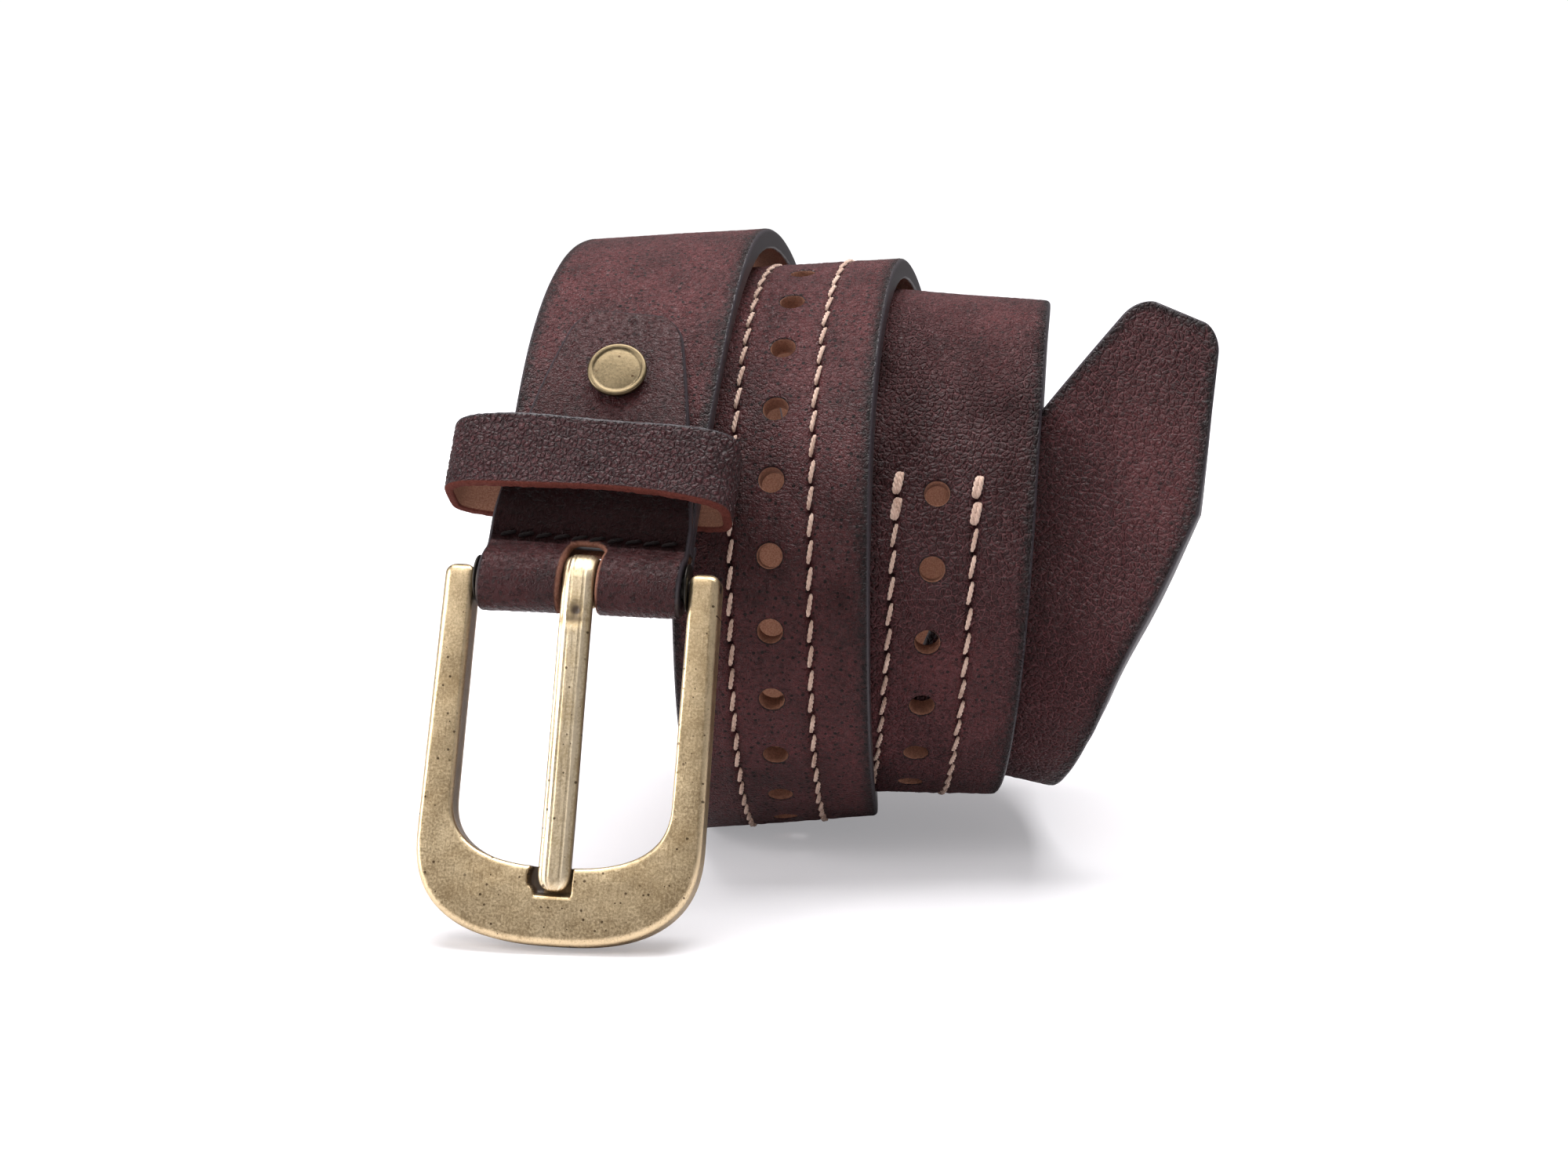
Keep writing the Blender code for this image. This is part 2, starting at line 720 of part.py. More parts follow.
def bar_cutter(frames, material, origin):
    rings = []
    for across in (-FRAME_HALF_WIDTH - MM, FRAME_HALF_WIDTH + MM):
        rings.append(bar_ring(frames, across, BAR_END_RADIUS + GAP))
    vertices, faces = tube_rings(rings)
    return add_body("cut_bar_holes", vertices, faces, material, origin)


def notch_cutter(frames, material, origin):
    """Trough from the opening into the front bar, wider at the left of the prong."""
    floor = FRAME_FRONT - NOTCH_DEPTH
    section = [(NOTCH_LEFT, FRAME_FRONT + MM), (NOTCH_LEFT + NOTCH_DRAFT, floor),
               (NOTCH_RIGHT - NOTCH_DRAFT / 2, floor), (NOTCH_RIGHT, FRAME_FRONT + MM)]
    rings = []
    for along in (-OPENING_LENGTH + 2 * MM, -OPENING_LENGTH - NOTCH_LENGTH):
        rings.append([bar_place(frames, along, across, out) for across, out in section])
    vertices, faces = tube_rings(rings)
    return add_body("cut_prong_rest", vertices, faces, material, origin)


def bar_ring(frames, across, radius):
    ring = []
    for index in range(BAR_SIDES):
        angle = math.tau * index / BAR_SIDES
        ring.append(bar_place(frames, radius * math.sin(angle), across, radius * math.cos(angle)))
    return ring


def build_bar(frames, material, origin):
    collar = CHAPE_HALF_WIDTH + 2 * GAP
    collar_end = OPENING_HALF_WIDTH - GAP
    end = FRAME_HALF_WIDTH - MM
    profile = [(-end, BAR_END_RADIUS), (-collar_end, BAR_END_RADIUS), (-collar_end, BAR_COLLAR_RADIUS),
               (-collar, BAR_COLLAR_RADIUS), (-collar, BAR_RADIUS)]
    profile += [(-across, radius) for across, radius in reversed(profile)]
    rings = [bar_ring(frames, across, radius) for across, radius in profile]
    vertices, faces = tube_rings(rings)
    return add_body("buckle_bar", vertices, faces, material, origin)


# ---------------------------------------------------------------- prong

def prong_line():
    """Middle line of the prong, curled round the bar, as (along, out, thickness, width share)."""
    line = []
    for index in range(PRONG_CURL_STEPS + 1):
        turn = PRONG_CURL * (1 - index / PRONG_CURL_STEPS)
        line.append((PRONG_EYE * math.sin(turn), PRONG_EYE * math.cos(turn), PRONG_THICK, 1.0))
    seat = FRAME_FRONT - NOTCH_DEPTH + PRONG_SEAT + PRONG_THICK / 2
    for index in range(1, PRONG_STEPS + 1):
        share = index / PRONG_STEPS
        line.append((-share * (PRONG_LENGTH - PRONG_TIP), mix(PRONG_EYE, seat, ease(share)), PRONG_THICK, 1.0))
    line.append((-PRONG_LENGTH + 0.4 * PRONG_TIP, seat, 0.95 * PRONG_THICK, 0.88))
    line.append((-PRONG_LENGTH, seat - PRONG_SEAT / 4, 0.7 * PRONG_THICK, 0.62))
    return line


def build_prong(frames, material, origin):
    line = prong_line()
    rings = []
    for row, (along, out, thick, width) in enumerate(line):
        normal = line_normal(line, row)
        half = PRONG_WIDTH / 2 * width
        bevel = PRONG_BEVEL_WIDTH * width
        top = thick / 2
        shoulder = top - PRONG_BEVEL_DEPTH * width
        section = [(-half, -top), (-half, shoulder), (-half + bevel, top),
                   (half - bevel, top), (half, shoulder), (half, -top)]
        rings.append([bar_place(frames, along + normal.x * lift, across, out + normal.y * lift)
                      for across, lift in section])
    vertices, faces = tube_rings(rings)
    return add_body("prong", vertices, faces, material, origin)


# ---------------------------------------------------------------- threads

def thread_rings(frames, runs, side, out):
    rings = []
    for run in runs:
        ring = []
        for across, rise in CORNERS:
            ring.append(place(frames, run, side + across * THREAD / 2, out + rise * THREAD_LOW / 2))
        rings.append(ring)
    return rings


def build_threads(frames, material):
    start = FIRST_HOLE - THREAD_OVERRUN
    end = FIRST_HOLE + (HOLE_COUNT - 1) * HOLE_PITCH + THREAD_OVERRUN
    stops = [start]
    for index in range(HOLE_COUNT):
        centre = FIRST_HOLE + index * HOLE_PITCH
        stops += [centre - HOLE_CELL, centre + HOLE_CELL]
    runs = fill_runs(stops + [end], ROW_STEP)
    lift = THREAD_LIFT + THREAD_LOW / 2
    rows = (("needle_thread_left", -THREAD_ROW, lift), ("needle_thread_right", THREAD_ROW, lift),
            ("bobbin_thread_left", -THREAD_ROW, -STRAP_THICK - lift),
            ("bobbin_thread_right", THREAD_ROW, -STRAP_THICK - lift))
    for name, side, out in rows:
        vertices, faces = tube_rings(thread_rings(frames, runs, side, out))
        add_body(name, vertices, faces, material)


def build_seams(frames, material):
    front = 2 * GAP + CHAPE_LEG + THREAD_LOW / 2
    back = -STRAP_THICK - 2 * GAP - CHAPE_LEG - THREAD_LOW / 2
    for name, out in (("chape_seam_front", front), ("chape_seam_back", back)):
        rings = []
        for side in (-SEAM_HALF_LENGTH, 0.0, SEAM_HALF_LENGTH):
            ring = []
            for along, rise in CORNERS:
                ring.append(place(frames, SEAM_AT + along * THREAD / 2, side, out + rise * THREAD_LOW / 2))
            rings.append(ring)
        vertices, faces = tube_rings(rings)
        add_body(name, vertices, faces, material)


# ---------------------------------------------------------------- assembly

def stand_on_floor():
    """Move everything so that the bounding box stands on the origin."""
    bpy.context.view_layer.update()
    bodies = [item for item in bpy.data.objects if item.type == "MESH"]
    shown = [item for item in bodies if not item.hide_render]
    corners = [item.matrix_world @ vertex.co for item in shown for vertex in item.data.vertices]
    low = [min(corner[axis] for corner in corners) for axis in range(3)]
    high = [max(corner[axis] for corner in corners) for axis in range(3)]
    shift = Vector((-(low[0] + high[0]) / 2, -(low[1] + high[1]) / 2, -low[2]))
    for item in bodies:
        item.location += shift
    return shift


def main():
    clear_scene()
    leather = surface("oxblood_leather", (0.06, 0.014, 0.012), 0.0, 0.42)
    brass = surface("antique_brass", (0.55, 0.42, 0.22), 1.0, 0.34)
    steel = surface("black_steel", (0.03, 0.028, 0.027), 0.9, 0.4)
    beige = surface("beige_thread", (0.5, 0.36, 0.24), 0.0, 0.7)
    dark = surface("dark_thread", (0.02, 0.012, 0.011), 0.0, 0.6)
    frames = strap_frames()
    bar = bar_place(frames, 0.0, 0.0, 0.0)
    build_strap(frames, leather)
    build_chape(frames, leather)
    build_rivet(frames, brass)
    build_keeper(frames, leather)
    build_staple(frames, steel)
    build_frame(frames, brass, bar)
    build_bar(frames, steel, bar)
    build_prong(frames, brass, bar)
    build_threads(frames, beige)
    build_seams(frames, dark)
    stand_on_floor()


main()
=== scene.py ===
"""Looks of the coiled leather belt: a fine surface over each CAD piece, in the row frame, in metres."""

import math

import bpy
import numpy as np
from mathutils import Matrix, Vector


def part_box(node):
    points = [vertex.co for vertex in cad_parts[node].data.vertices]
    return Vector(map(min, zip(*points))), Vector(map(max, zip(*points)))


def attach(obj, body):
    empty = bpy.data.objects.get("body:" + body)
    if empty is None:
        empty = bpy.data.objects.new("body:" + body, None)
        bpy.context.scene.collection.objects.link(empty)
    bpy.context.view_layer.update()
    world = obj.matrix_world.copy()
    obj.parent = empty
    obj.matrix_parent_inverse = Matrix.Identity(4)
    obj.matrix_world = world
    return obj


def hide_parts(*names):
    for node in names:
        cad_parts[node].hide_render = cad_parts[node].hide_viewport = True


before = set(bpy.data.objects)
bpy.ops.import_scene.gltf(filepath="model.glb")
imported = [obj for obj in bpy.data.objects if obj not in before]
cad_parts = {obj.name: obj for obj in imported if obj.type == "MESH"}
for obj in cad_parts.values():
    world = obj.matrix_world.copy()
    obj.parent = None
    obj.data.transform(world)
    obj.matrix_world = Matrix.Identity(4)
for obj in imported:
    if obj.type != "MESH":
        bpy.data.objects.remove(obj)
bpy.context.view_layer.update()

MM = 0.001

# Strap and coil, the same dimensions as the CAD
HALF_WIDTH = 20.0 * MM
STRAP_THICK = 4.5 * MM
STRAP_START = 7.9 * MM
GAP = 0.3 * MM
HOLE_RADIUS = 2.5 * MM
HOLE_CELL = 4.0 * MM
HOLE_PITCH = 15.42 * MM
HOLE_COUNT = 35
FIRST_HOLE = 283.8 * MM
SIZE_HOLES = 5
SIZE_HOLE_PITCH = 25.0 * MM
SIZE_HOLE_FROM_TIP = 125.0 * MM
TIP_TAPER = 36.0 * MM
TIP_HALF_WIDTH = 8.9 * MM
TIP_CORNER = 5.0 * MM
TIP_CORNER_SHARE = 0.8
COIL_RADIUS = 69.34 * MM
COIL_SHRINK = 6.587 * MM
COIL_DIP = 3.0 * MM
COIL_DIP_FROM = math.radians(1010)
COIL_DENTS = ((275, -0.3), (380, 1.3), (650, 0.6), (740, 0.7))
COIL_DENT_SPREAD = 40
TURN_START = math.radians(22)
TURN_END = math.radians(1075)
TURN_STEP = math.radians(0.5)
DRIFT_FROM = math.radians(-20)
DRIFT_STEP = math.radians(60)
DRIFT = (-3.0, 3.1, 6.9, 14.0, 24.2, 31.7, 33.6, 33.9, 36.7, 42.9,
         49.7, 57.5, 64.6, 67.5, 68.5, 66.4, 66.8, 70.8, 84.5, 108.0)
CANT_WINDOW = math.radians(20)
BAR_TO_COIL = 27.9 * MM
FOOT_SKEW = math.tan(math.radians(3.8))
FOOT_SKEW_END = 18.0 * MM
TIP_RUN = 61.6 * MM
TIP_BEND_RADIUS = 200.0 * MM
TIP_SLANT = math.radians(22.9)
TIP_STEP = 2.0 * MM

# Chape, rivet and keeper
CHAPE_HALF_WIDTH = 20.1 * MM
CHAPE_LEG = 2.3 * MM
CHAPE_ROLL = 3.6 * MM
ROLL_RADIUS = 4.4 * MM
BAR_OUT = 0.8 * MM
CHAPE_BACK_END = 10.7 * MM
CHAPE_LEG_START = 7.4 * MM
TAB_NARROWS = 12.0 * MM
TAB_TOP = 58.7 * MM
TAB_TOP_HALF_WIDTH = 10.2 * MM
TAB_CORNER = 6.2 * MM
TAB_CORNER_DROP = 5.2 * MM
SLOT_HALF_WIDTH = 3.6 * MM
SLOT_CORNER = 1.8 * MM
RIVET_AT = 43.4 * MM
RIVET_RADIUS = 6.0 * MM
RIVET_HEIGHT = 1.3 * MM
KEEPER_AT = 24.4 * MM
KEEPER_BAND = 14.2 * MM
KEEPER_THICK = 1.8 * MM
KEEPER_HALF_WIDTH = 28.0 * MM
KEEPER_SHIFT = -1.8 * MM
KEEPER_SKEW = math.tan(math.radians(2.0))
KEEPER_DROOP = math.tan(math.radians(12))
KEEPER_FRONT = 8.2 * MM
KEEPER_FULLNESS = 0.64
KEEPER_FLATNESS = 0.3
KEEPER_BACK = -6.7 * MM

# Buckle and prong
ARM_TOP = 2.6 * MM
ARM_TAPER = 0.5 * MM
FRAME_HALF_WIDTH = 27.9 * MM
OPENING_HALF_WIDTH = 21.5 * MM
FRAME_LENGTH = 70.8 * MM
OPENING_LENGTH = 56.0 * MM
FRAME_CORNER = 21.0 * MM
OPENING_CORNER = 13.5 * MM
ARM_ROUND = 2.0 * MM
FRAME_FRONT = 2.75 * MM
FRAME_BACK = 3.65 * MM
CORNER_POWER = 2.6
ARM_SHARE = 0.2
NOTCH_LEFT = -5.2 * MM
NOTCH_RIGHT = 3.5 * MM
NOTCH_LENGTH = 5.8 * MM
NOTCH_DEPTH = 2.2 * MM
BAR_RADIUS = 2.2 * MM
BAR_END_RADIUS = 1.6 * MM
BAR_COLLAR_RADIUS = 4.7 * MM
BUCKLE_LEAN = math.radians(-2)
PRONG_WIDTH = 6.2 * MM
PRONG_THICK = 2.9 * MM
PRONG_EYE = 4.2 * MM
PRONG_LENGTH = 60.0 * MM
PRONG_SEAT = 0.4 * MM

# Stitching
STITCH_ROW = 8.05 * MM
STITCH_OVERRUN = 4.6 * MM
STITCH_PITCH = 5.45 * MM
STITCH_RADIUS = 0.26 * MM
STITCH_TWIST = 0.25 * MM
STITCH_SLANT = 0.36 * MM
SEAM_AT = 8.6 * MM
SEAM_HALF_LENGTH = 18.0 * MM
SEAM_PITCH = 3.6 * MM

# Surface detail
GRAIN_EDGE = 1.0 * MM
FLESH_EDGE = 0.5 * MM
MESH_STEP = 0.66 * MM
# How far up the chape leg the painted shade under the keeper reaches
LEG_SHADE_REACH = 22 * MM
BURNISH_AT = (380, 415, 445, 480, 780, 818, 838, 858)
BURNISH = (0.0, 0.36, 0.3, 0.0, 0.0, 0.5, 0.4, 0.0)
PEBBLED_AT = (0, 200, 700, 770, 800, 838, 872, 1040, 1110, 1180)
PEBBLED = (0.06, 0.12, 0.3, 0.5, 1.0, 0.95, 0.3, 0.4, 0.85, 0.8)
SEWN_START = 4 * MM
SEWN_END = 3 * MM
LEATHER_BUMP = 0.5 * MM
BRASS_BUMP = 0.06 * MM
STEEL_BUMP = 0.03 * MM
THREAD_BUMP = 0.12 * MM
DARK_PEBBLES = 0.9

# Colours
INK = (0.006, 0.003, 0.003, 1)
BURNT = (0.008, 0.0045, 0.005, 1)
EDGE_PAINT = (0.040, 0.032, 0.038, 1)
TAN = (0.42, 0.20, 0.145, 1)
FLESH_DARK = (0.27, 0.125, 0.08, 1)
FLESH_LIGHT = (0.48, 0.235, 0.16, 1)
PATINA = (0.05, 0.03, 0.02, 1)
SPECK = (0.06, 0.035, 0.02, 1)
DRAW_LINE = (0.2, 0.13, 0.07, 1)
STEEL_DARK = (0.012, 0.011, 0.010, 1)
STEEL_LIGHT = (0.06, 0.052, 0.045, 1)
PAPER = (0.72, 0.705, 0.725, 1)
PAPER_GLOW = (0.98, 0.97, 1.0, 1)
GRAIN_LOOK = {"dark": (0.036, 0.0095, 0.0105, 1), "light": (0.096, 0.026, 0.0285, 1), "raw": TAN,
              "pebble": 0.78, "crease": 1.1, "net": 0.75, "gloss": 0.38, "shine": 0.3, "pores": 1.0,
              "burn": 3.6}
WAXED_LOOK = {"dark": (0.027, 0.0066, 0.0074, 1), "light": (0.049, 0.0124, 0.0136, 1), "raw": TAN,
              "pebble": 0.9, "crease": 0.45, "net": -0.3, "gloss": 0.23, "shine": 0.22, "pores": 0.6,
              "burn": 1.0}
PEBBLED_LOOK = {"dark": (0.050, 0.0165, 0.019, 1), "light": (0.088, 0.030, 0.034, 1),
                "raw": (0.19, 0.052, 0.040, 1), "pebble": 0.9, "crease": 1.5, "net": -0.85, "gloss": 0.34,
                "shine": 0.36, "pores": 0.3, "burn": 0.9}

# Stage, light and camera
FLOOR_REACH = 6.0
FLOOR_FADE = (0.22, 0.9)
FLOOR_GLOW = 0.3
FLOOR_GLOW_FAR = 1.1
WORLD_FRONT = 0.3
WORLD_BACK = 0.22
WORLD_SEEN = 1.05
LIGHT_TARGET = (0.0, 0.0, 0.06)
LIGHTS = (("overhead", (0.0, 0.06, 0.95), (0.9, 0.6), 14.0),
          ("front", (-0.3, -0.66, 0.8), (0.6, 0.4), 2.2),
          ("left", (-0.95, -0.4, 0.35), (0.5, 0.6), 6.5))
CAMERA_LENS = 54.04
CAMERA_SENSOR = 36.0
CAMERA_NEAR = 0.01
CAMERA_SPOT = (0.047252, -0.506554, 0.139692)
CAMERA_ANGLES = (80.86601, 0.18048, 6.90039)


# ---------------------------------------------------------------- small helpers

def ease(value):
    value = np.clip(value, 0.0, 1.0)
    return value * value * (3 - 2 * value)


def mix(first, second, share):
    return first + (second - first) * share


def round_over(distance, radius):
    """How far a surface falls at a distance from its border when the edge is rounded."""
    left = np.clip(radius - distance, 0.0, radius)
    return radius - np.sqrt(np.maximum(0.0, radius ** 2 - left ** 2))


def soft_noise(first, second, seed):
    """Smooth random heights from -1 to 1 over a plane, one knot each unit."""
    table = np.random.default_rng(seed).uniform(-1, 1, (128, 128))
    low_first = np.floor(first).astype(int)
    low_second = np.floor(second).astype(int)
    share_first = ease(first - low_first)
    share_second = ease(second - low_second)

    def knot(step_first, step_second):
        return table[(low_first + step_first) % 128, (low_second + step_second) % 128]

    near = mix(knot(0, 0), knot(1, 0), share_first)
    far = mix(knot(0, 1), knot(1, 1), share_first)
    return mix(near, far, share_second)


def cells(first, second, seed):
    """Distance between the two nearest random centres: zero on the creases between pebbles."""
    table = np.random.default_rng(seed).uniform(0, 1, (128, 128, 2))
    low_first = np.floor(first).astype(int)
    low_second = np.floor(second).astype(int)
    nearest = np.full(np.shape(first), 9.0)
    following = np.full(np.shape(first), 9.0)
    for step_first in (-1, 0, 1):
        for step_second in (-1, 0, 1):
            jitter = table[(low_first + step_first) % 128, (low_second + step_second) % 128]
            away = np.hypot(low_first + step_first + jitter[..., 0] - first,
                            low_second + step_second + jitter[..., 1] - second)
            following = np.minimum(following, np.maximum(nearest, away))
            nearest = np.minimum(nearest, away)
    return following - nearest


# ---------------------------------------------------------------- the line of the strap

def drift(turn):
    place_on = (turn - DRIFT_FROM) / DRIFT_STEP
    index = min(len(DRIFT) - 2, max(0, int(place_on)))
    share = place_on - index
    left = DRIFT[max(0, index - 1)]
    start = DRIFT[index]
    end = DRIFT[index + 1]
    right = DRIFT[min(len(DRIFT) - 1, index + 2)]
    slope_in = (end - left) / 2
    slope_out = (right - start) / 2
    square = share * share
    cube = square * share
    value = ((2 * cube - 3 * square + 1) * start + (cube - 2 * square + share) * slope_in
             + (3 * square - 2 * cube) * end + (cube - square) * slope_out)
    return value * MM


def coil_radius(turn):
    dip = COIL_DIP * max(0.0, turn - COIL_DIP_FROM) ** 2
    dent = 0.0
    for middle, depth in COIL_DENTS:
        dent += depth * MM * math.exp(-((math.degrees(turn) - middle) / COIL_DENT_SPREAD) ** 2)
    return COIL_RADIUS - COIL_SHRINK * turn / math.tau - dip - dent


def coil_point(turn):
    radius = coil_radius(turn)
    return Vector((drift(turn), -radius * math.cos(turn), radius * math.sin(turn)))


def coil_heading(turn):
    small = math.radians(1)
    return (coil_point(turn + small) - coil_point(turn - small)).normalized()


def square_axes(heading, turn):
    radial = Vector((0, -math.cos(turn), math.sin(turn)))
    out = (radial - heading * radial.dot(heading)).normalized()
    return heading.cross(out), out


def coil_cant(turn):
    """Tilt of the strap across its width, set by how the centre line bends sideways."""
    middle = min(max(turn, TURN_START + CANT_WINDOW), TURN_END - CANT_WINDOW)
    bend = coil_heading(middle + CANT_WINDOW) - coil_heading(middle - CANT_WINDOW)
    across, out = square_axes(coil_heading(middle), middle)
    cant = math.atan2(-bend.dot(across), -bend.dot(out))
    return cant * ease((turn - TURN_START) / CANT_WINDOW)


def make_frame(run, point, heading, turn, cant):
    across, out = square_axes(heading, turn)
    tilted = across * math.cos(cant) - out * math.sin(cant)
    raised = out * math.cos(cant) + across * math.sin(cant)
    return (run, point, heading, tilted, raised)


def strap_frames():
    """Frames along the grain face, from the bar foot at run zero to the tip."""
    heading = coil_heading(TURN_START)
    start = coil_point(TURN_START)
    frames = [make_frame(0.0, start - heading * BAR_TO_COIL, heading, TURN_START, 0.0)]
    run = BAR_TO_COIL
    before = start
    for index in range(round((TURN_END - TURN_START) / TURN_STEP) + 1):
        turn = TURN_START + index * TURN_STEP
        point = coil_point(turn)
        run += (point - before).length
        before = point
        frames.append(make_frame(run, point, coil_heading(turn), turn, coil_cant(turn)))
    end_cant = coil_cant(TURN_END)
    end_heading = frames[-1][2]
    end_run = run
    pieces = round(TIP_RUN / TIP_STEP)
    for index in range(1, pieces + 1):
        run = end_run + index * TIP_STEP
        share = index / pieces
        turn = TURN_END + (run - end_run) / TIP_BEND_RADIUS
        straight = Vector((math.sin(TIP_SLANT), math.cos(TIP_SLANT) * math.sin(turn),
                           math.cos(TIP_SLANT) * math.cos(turn)))
        heading = end_heading.lerp(straight, ease(4 * share)).normalized()
        before = before + heading * TIP_STEP
        frames.append(make_frame(run, before, heading, turn, end_cant * (1 - ease(share))))
    return frames


FRAMES = strap_frames()
LENGTH = FRAMES[-1][0]
LINE_RUN = np.array([item[0] for item in FRAMES])
LINE_POINT = np.array([item[1] for item in FRAMES])
LINE_ACROSS = np.array([item[3] for item in FRAMES])
LINE_OUT = np.array([item[4] for item in FRAMES])
FOOT = [np.array(item) for item in FRAMES[0][1:]]


def along_line(run, table):
    return np.stack([np.interp(run, LINE_RUN, table[:, axis]) for axis in range(3)], axis=-1)


def place(run, across, out):
    """World points at distances along the strap, across it and out from its grain face."""
    run, across, out = np.broadcast_arrays(np.asarray(run, float), across, out)
    run = run + across * FOOT_SKEW * (1 - ease(run / FOOT_SKEW_END))
    point = along_line(run, LINE_POINT) + np.minimum(run, 0.0)[..., None] * FOOT[1]
    return (point + along_line(run, LINE_ACROSS) * across[..., None]
            + along_line(run, LINE_OUT) * out[..., None] + SHIFT)


def place_straight(run, across, out):
    """World points in the straight frame of the strap foot, which the buckle and keeper share."""
    run, across, out = np.broadcast_arrays(np.asarray(run, float), across, out)
    return FOOT[0] + run[..., None] * FOOT[1] + across[..., None] * FOOT[2] + out[..., None] * FOOT[3] + SHIFT


def bar_place(along, across, out):
    """World points in the buckle frame: along runs up the strap from the bar axis."""
    along, across, out = np.broadcast_arrays(np.asarray(along, float), across, out)
    twist = math.atan(FOOT_SKEW)
    leaned = along * math.cos(BUCKLE_LEAN) + out * math.sin(BUCKLE_LEAN)
    up = leaned * math.cos(twist) + across * math.sin(twist)
    side = across * math.cos(twist) - leaned * math.sin(twist)
    return place_straight(up, side, BAR_OUT - along * math.sin(BUCKLE_LEAN) + out * math.cos(BUCKLE_LEAN))


SHIFT = np.zeros(3)
BAR_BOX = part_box("buckle_bar")
SHIFT = np.array((BAR_BOX[0] + BAR_BOX[1]) / 2) - bar_place(0.0, 0.0, 0.0)


# ---------------------------------------------------------------- meshes

def make_piece(name, points, faces, material, body, nodes, flat=None, marks=None, sharp=None):
    """Object from points and quads; flat is the unrolled place that the finish follows."""
    mesh = bpy.data.meshes.new(name)
    points = np.asarray(points, np.float32)
    quads = [np.asarray(group, np.int32) for group in faces]
    mesh.vertices.add(len(points))
    mesh.vertices.foreach_set("co", points.ravel())
    corners = np.concatenate([group.ravel() for group in quads])
    sizes = np.concatenate([np.full(len(group), group.shape[1], np.int32) for group in quads])
    mesh.loops.add(len(corners))
    mesh.loops.foreach_set("vertex_index", corners)
    mesh.polygons.add(len(sizes))
    mesh.polygons.foreach_set("loop_start", np.concatenate([[0], np.cumsum(sizes)[:-1]]).astype(np.int32))
    mesh.update(calc_edges=True)
    mesh.validate()
    if flat is not None:
        attribute = mesh.attributes.new("flat", "FLOAT_VECTOR", "POINT")
        attribute.data.foreach_set("vector", np.asarray(flat, np.float32).ravel())
    for key, values in (marks or {}).items():
        attribute = mesh.attributes.new(key, "FLOAT", "POINT")
        attribute.data.foreach_set("value", np.asarray(values, np.float32).ravel())
    mesh.shade_smooth()
    if sharp is not None:
        mesh.set_sharp_from_angle(angle=sharp)
    mesh.materials.append(material)
    piece = bpy.data.objects.new(name, mesh)
    bpy.context.scene.collection.objects.link(piece)
    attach(piece, body)
    if nodes:
        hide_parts(*nodes)
    return piece


def sheet_faces(index, keep, cut):
    """Quads of a thick sheet: the grain face, the flesh face and walls round the outer border."""
    count = int(index.max()) + 1
    quads = np.stack([index[:-1, :-1], index[:-1, 1:], index[1:, 1:], index[1:, :-1]], axis=-1)
    whole = quads[keep | cut]
    edges = np.concatenate([whole[:, [side, (side + 1) % 4]] for side in range(4)])
    lone = edges[~np.isin(edges[:, 0] * count + edges[:, 1], edges[:, 1] * count + edges[:, 0])]
    walls = np.stack([lone[:, 1], lone[:, 0], lone[:, 0] + count, lone[:, 1] + count], axis=-1)
    top = quads[keep]
    return np.concatenate([top, top[:, ::-1] + count, walls])


def tube_faces(rows, size, closed_rows=False):
    """Quads between rings of equal size; open tubes are capped with one polygon at each end."""
    index = np.arange(rows * size).reshape(rows, size)
    if closed_rows:
        index = np.vstack([index, index[:1]])
    after = np.roll(index, -1, axis=1)
    quads = np.stack([index[:-1], after[:-1], after[1:], index[1:]], axis=-1).reshape(-1, 4)
    if closed_rows:
        return [quads]
    return [quads, index[0][None, ::-1], index[-1][None]]


def spots_of(*parts):
    """One row of numbers for each point, from grids of equal shape."""
    return np.stack(parts, -1).reshape(-1, len(parts))


def both_faces(along, side, top, low):
    """The unrolled place of the upper face followed by that of the lower face."""
    return np.concatenate([spots_of(along, side, top), spots_of(along, side, low)])


def edge_steps(*angles):
    """How far in from a rounded border its rings lie, as shares of the edge radius."""
    return 1 - np.sin(np.radians(angles))


def fill(stops, step):
    """Numbers through all the stops, no farther apart than the step."""
    values = [stops[0]]
    for stop in stops[1:]:
        pieces = max(1, math.ceil((stop - values[-1]) / step - 0.01))
        values += list(np.linspace(values[-1], stop, pieces + 1)[1:])
    return np.array(values)


# ---------------------------------------------------------------- strap

def hole_centres():
    centres = [FIRST_HOLE + index * HOLE_PITCH for index in range(HOLE_COUNT)]
    last = LENGTH - SIZE_HOLE_FROM_TIP
    centres += [last - index * SIZE_HOLE_PITCH for index in range(SIZE_HOLES)]
    return sorted([RIVET_AT] + centres)


def half_width(run):
    share = np.clip((run - (LENGTH - TIP_TAPER)) / TIP_TAPER, 0.0, 1.0)
    corner = round_over(LENGTH - run, TIP_CORNER) * TIP_CORNER_SHARE
    return mix(HALF_WIDTH, TIP_HALF_WIDTH, share) - corner


def strap_columns():
    """Places across half the strap, finer at the hole, the stitch row and the rounded edge."""
    row = STITCH_ROW
    inner = np.linspace(0, HOLE_CELL, 7)
    near = np.linspace(HOLE_CELL, row - 1.2 * MM, 6)[1:]
    stitched = np.linspace(row - 1.2 * MM, row + 1.2 * MM, 9)[1:]
    outer = np.linspace(row + 1.2 * MM, HALF_WIDTH - GRAIN_EDGE, 16)[1:]
    edge = HALF_WIDTH - GRAIN_EDGE * edge_steps(25, 50, 72, 90)
    half = np.concatenate([inner, near, stitched, outer, edge])
    return np.concatenate([-half[:0:-1], half])


def stitch_start():
    return FIRST_HOLE - STITCH_OVERRUN


def stitch_end():
    return FIRST_HOLE + (HOLE_COUNT - 1) * HOLE_PITCH + STITCH_OVERRUN


def pebbled_share(run, side):
    """How pebbled the grain is: smooth and porous near the buckle, pebbled at the tip and after the rows."""
    share = np.interp(run / MM, PEBBLED_AT, PEBBLED)
    return np.clip(share * (1 + 0.5 * soft_noise(run / (14 * MM), side / (11 * MM), 5)), 0.0, 1.0)


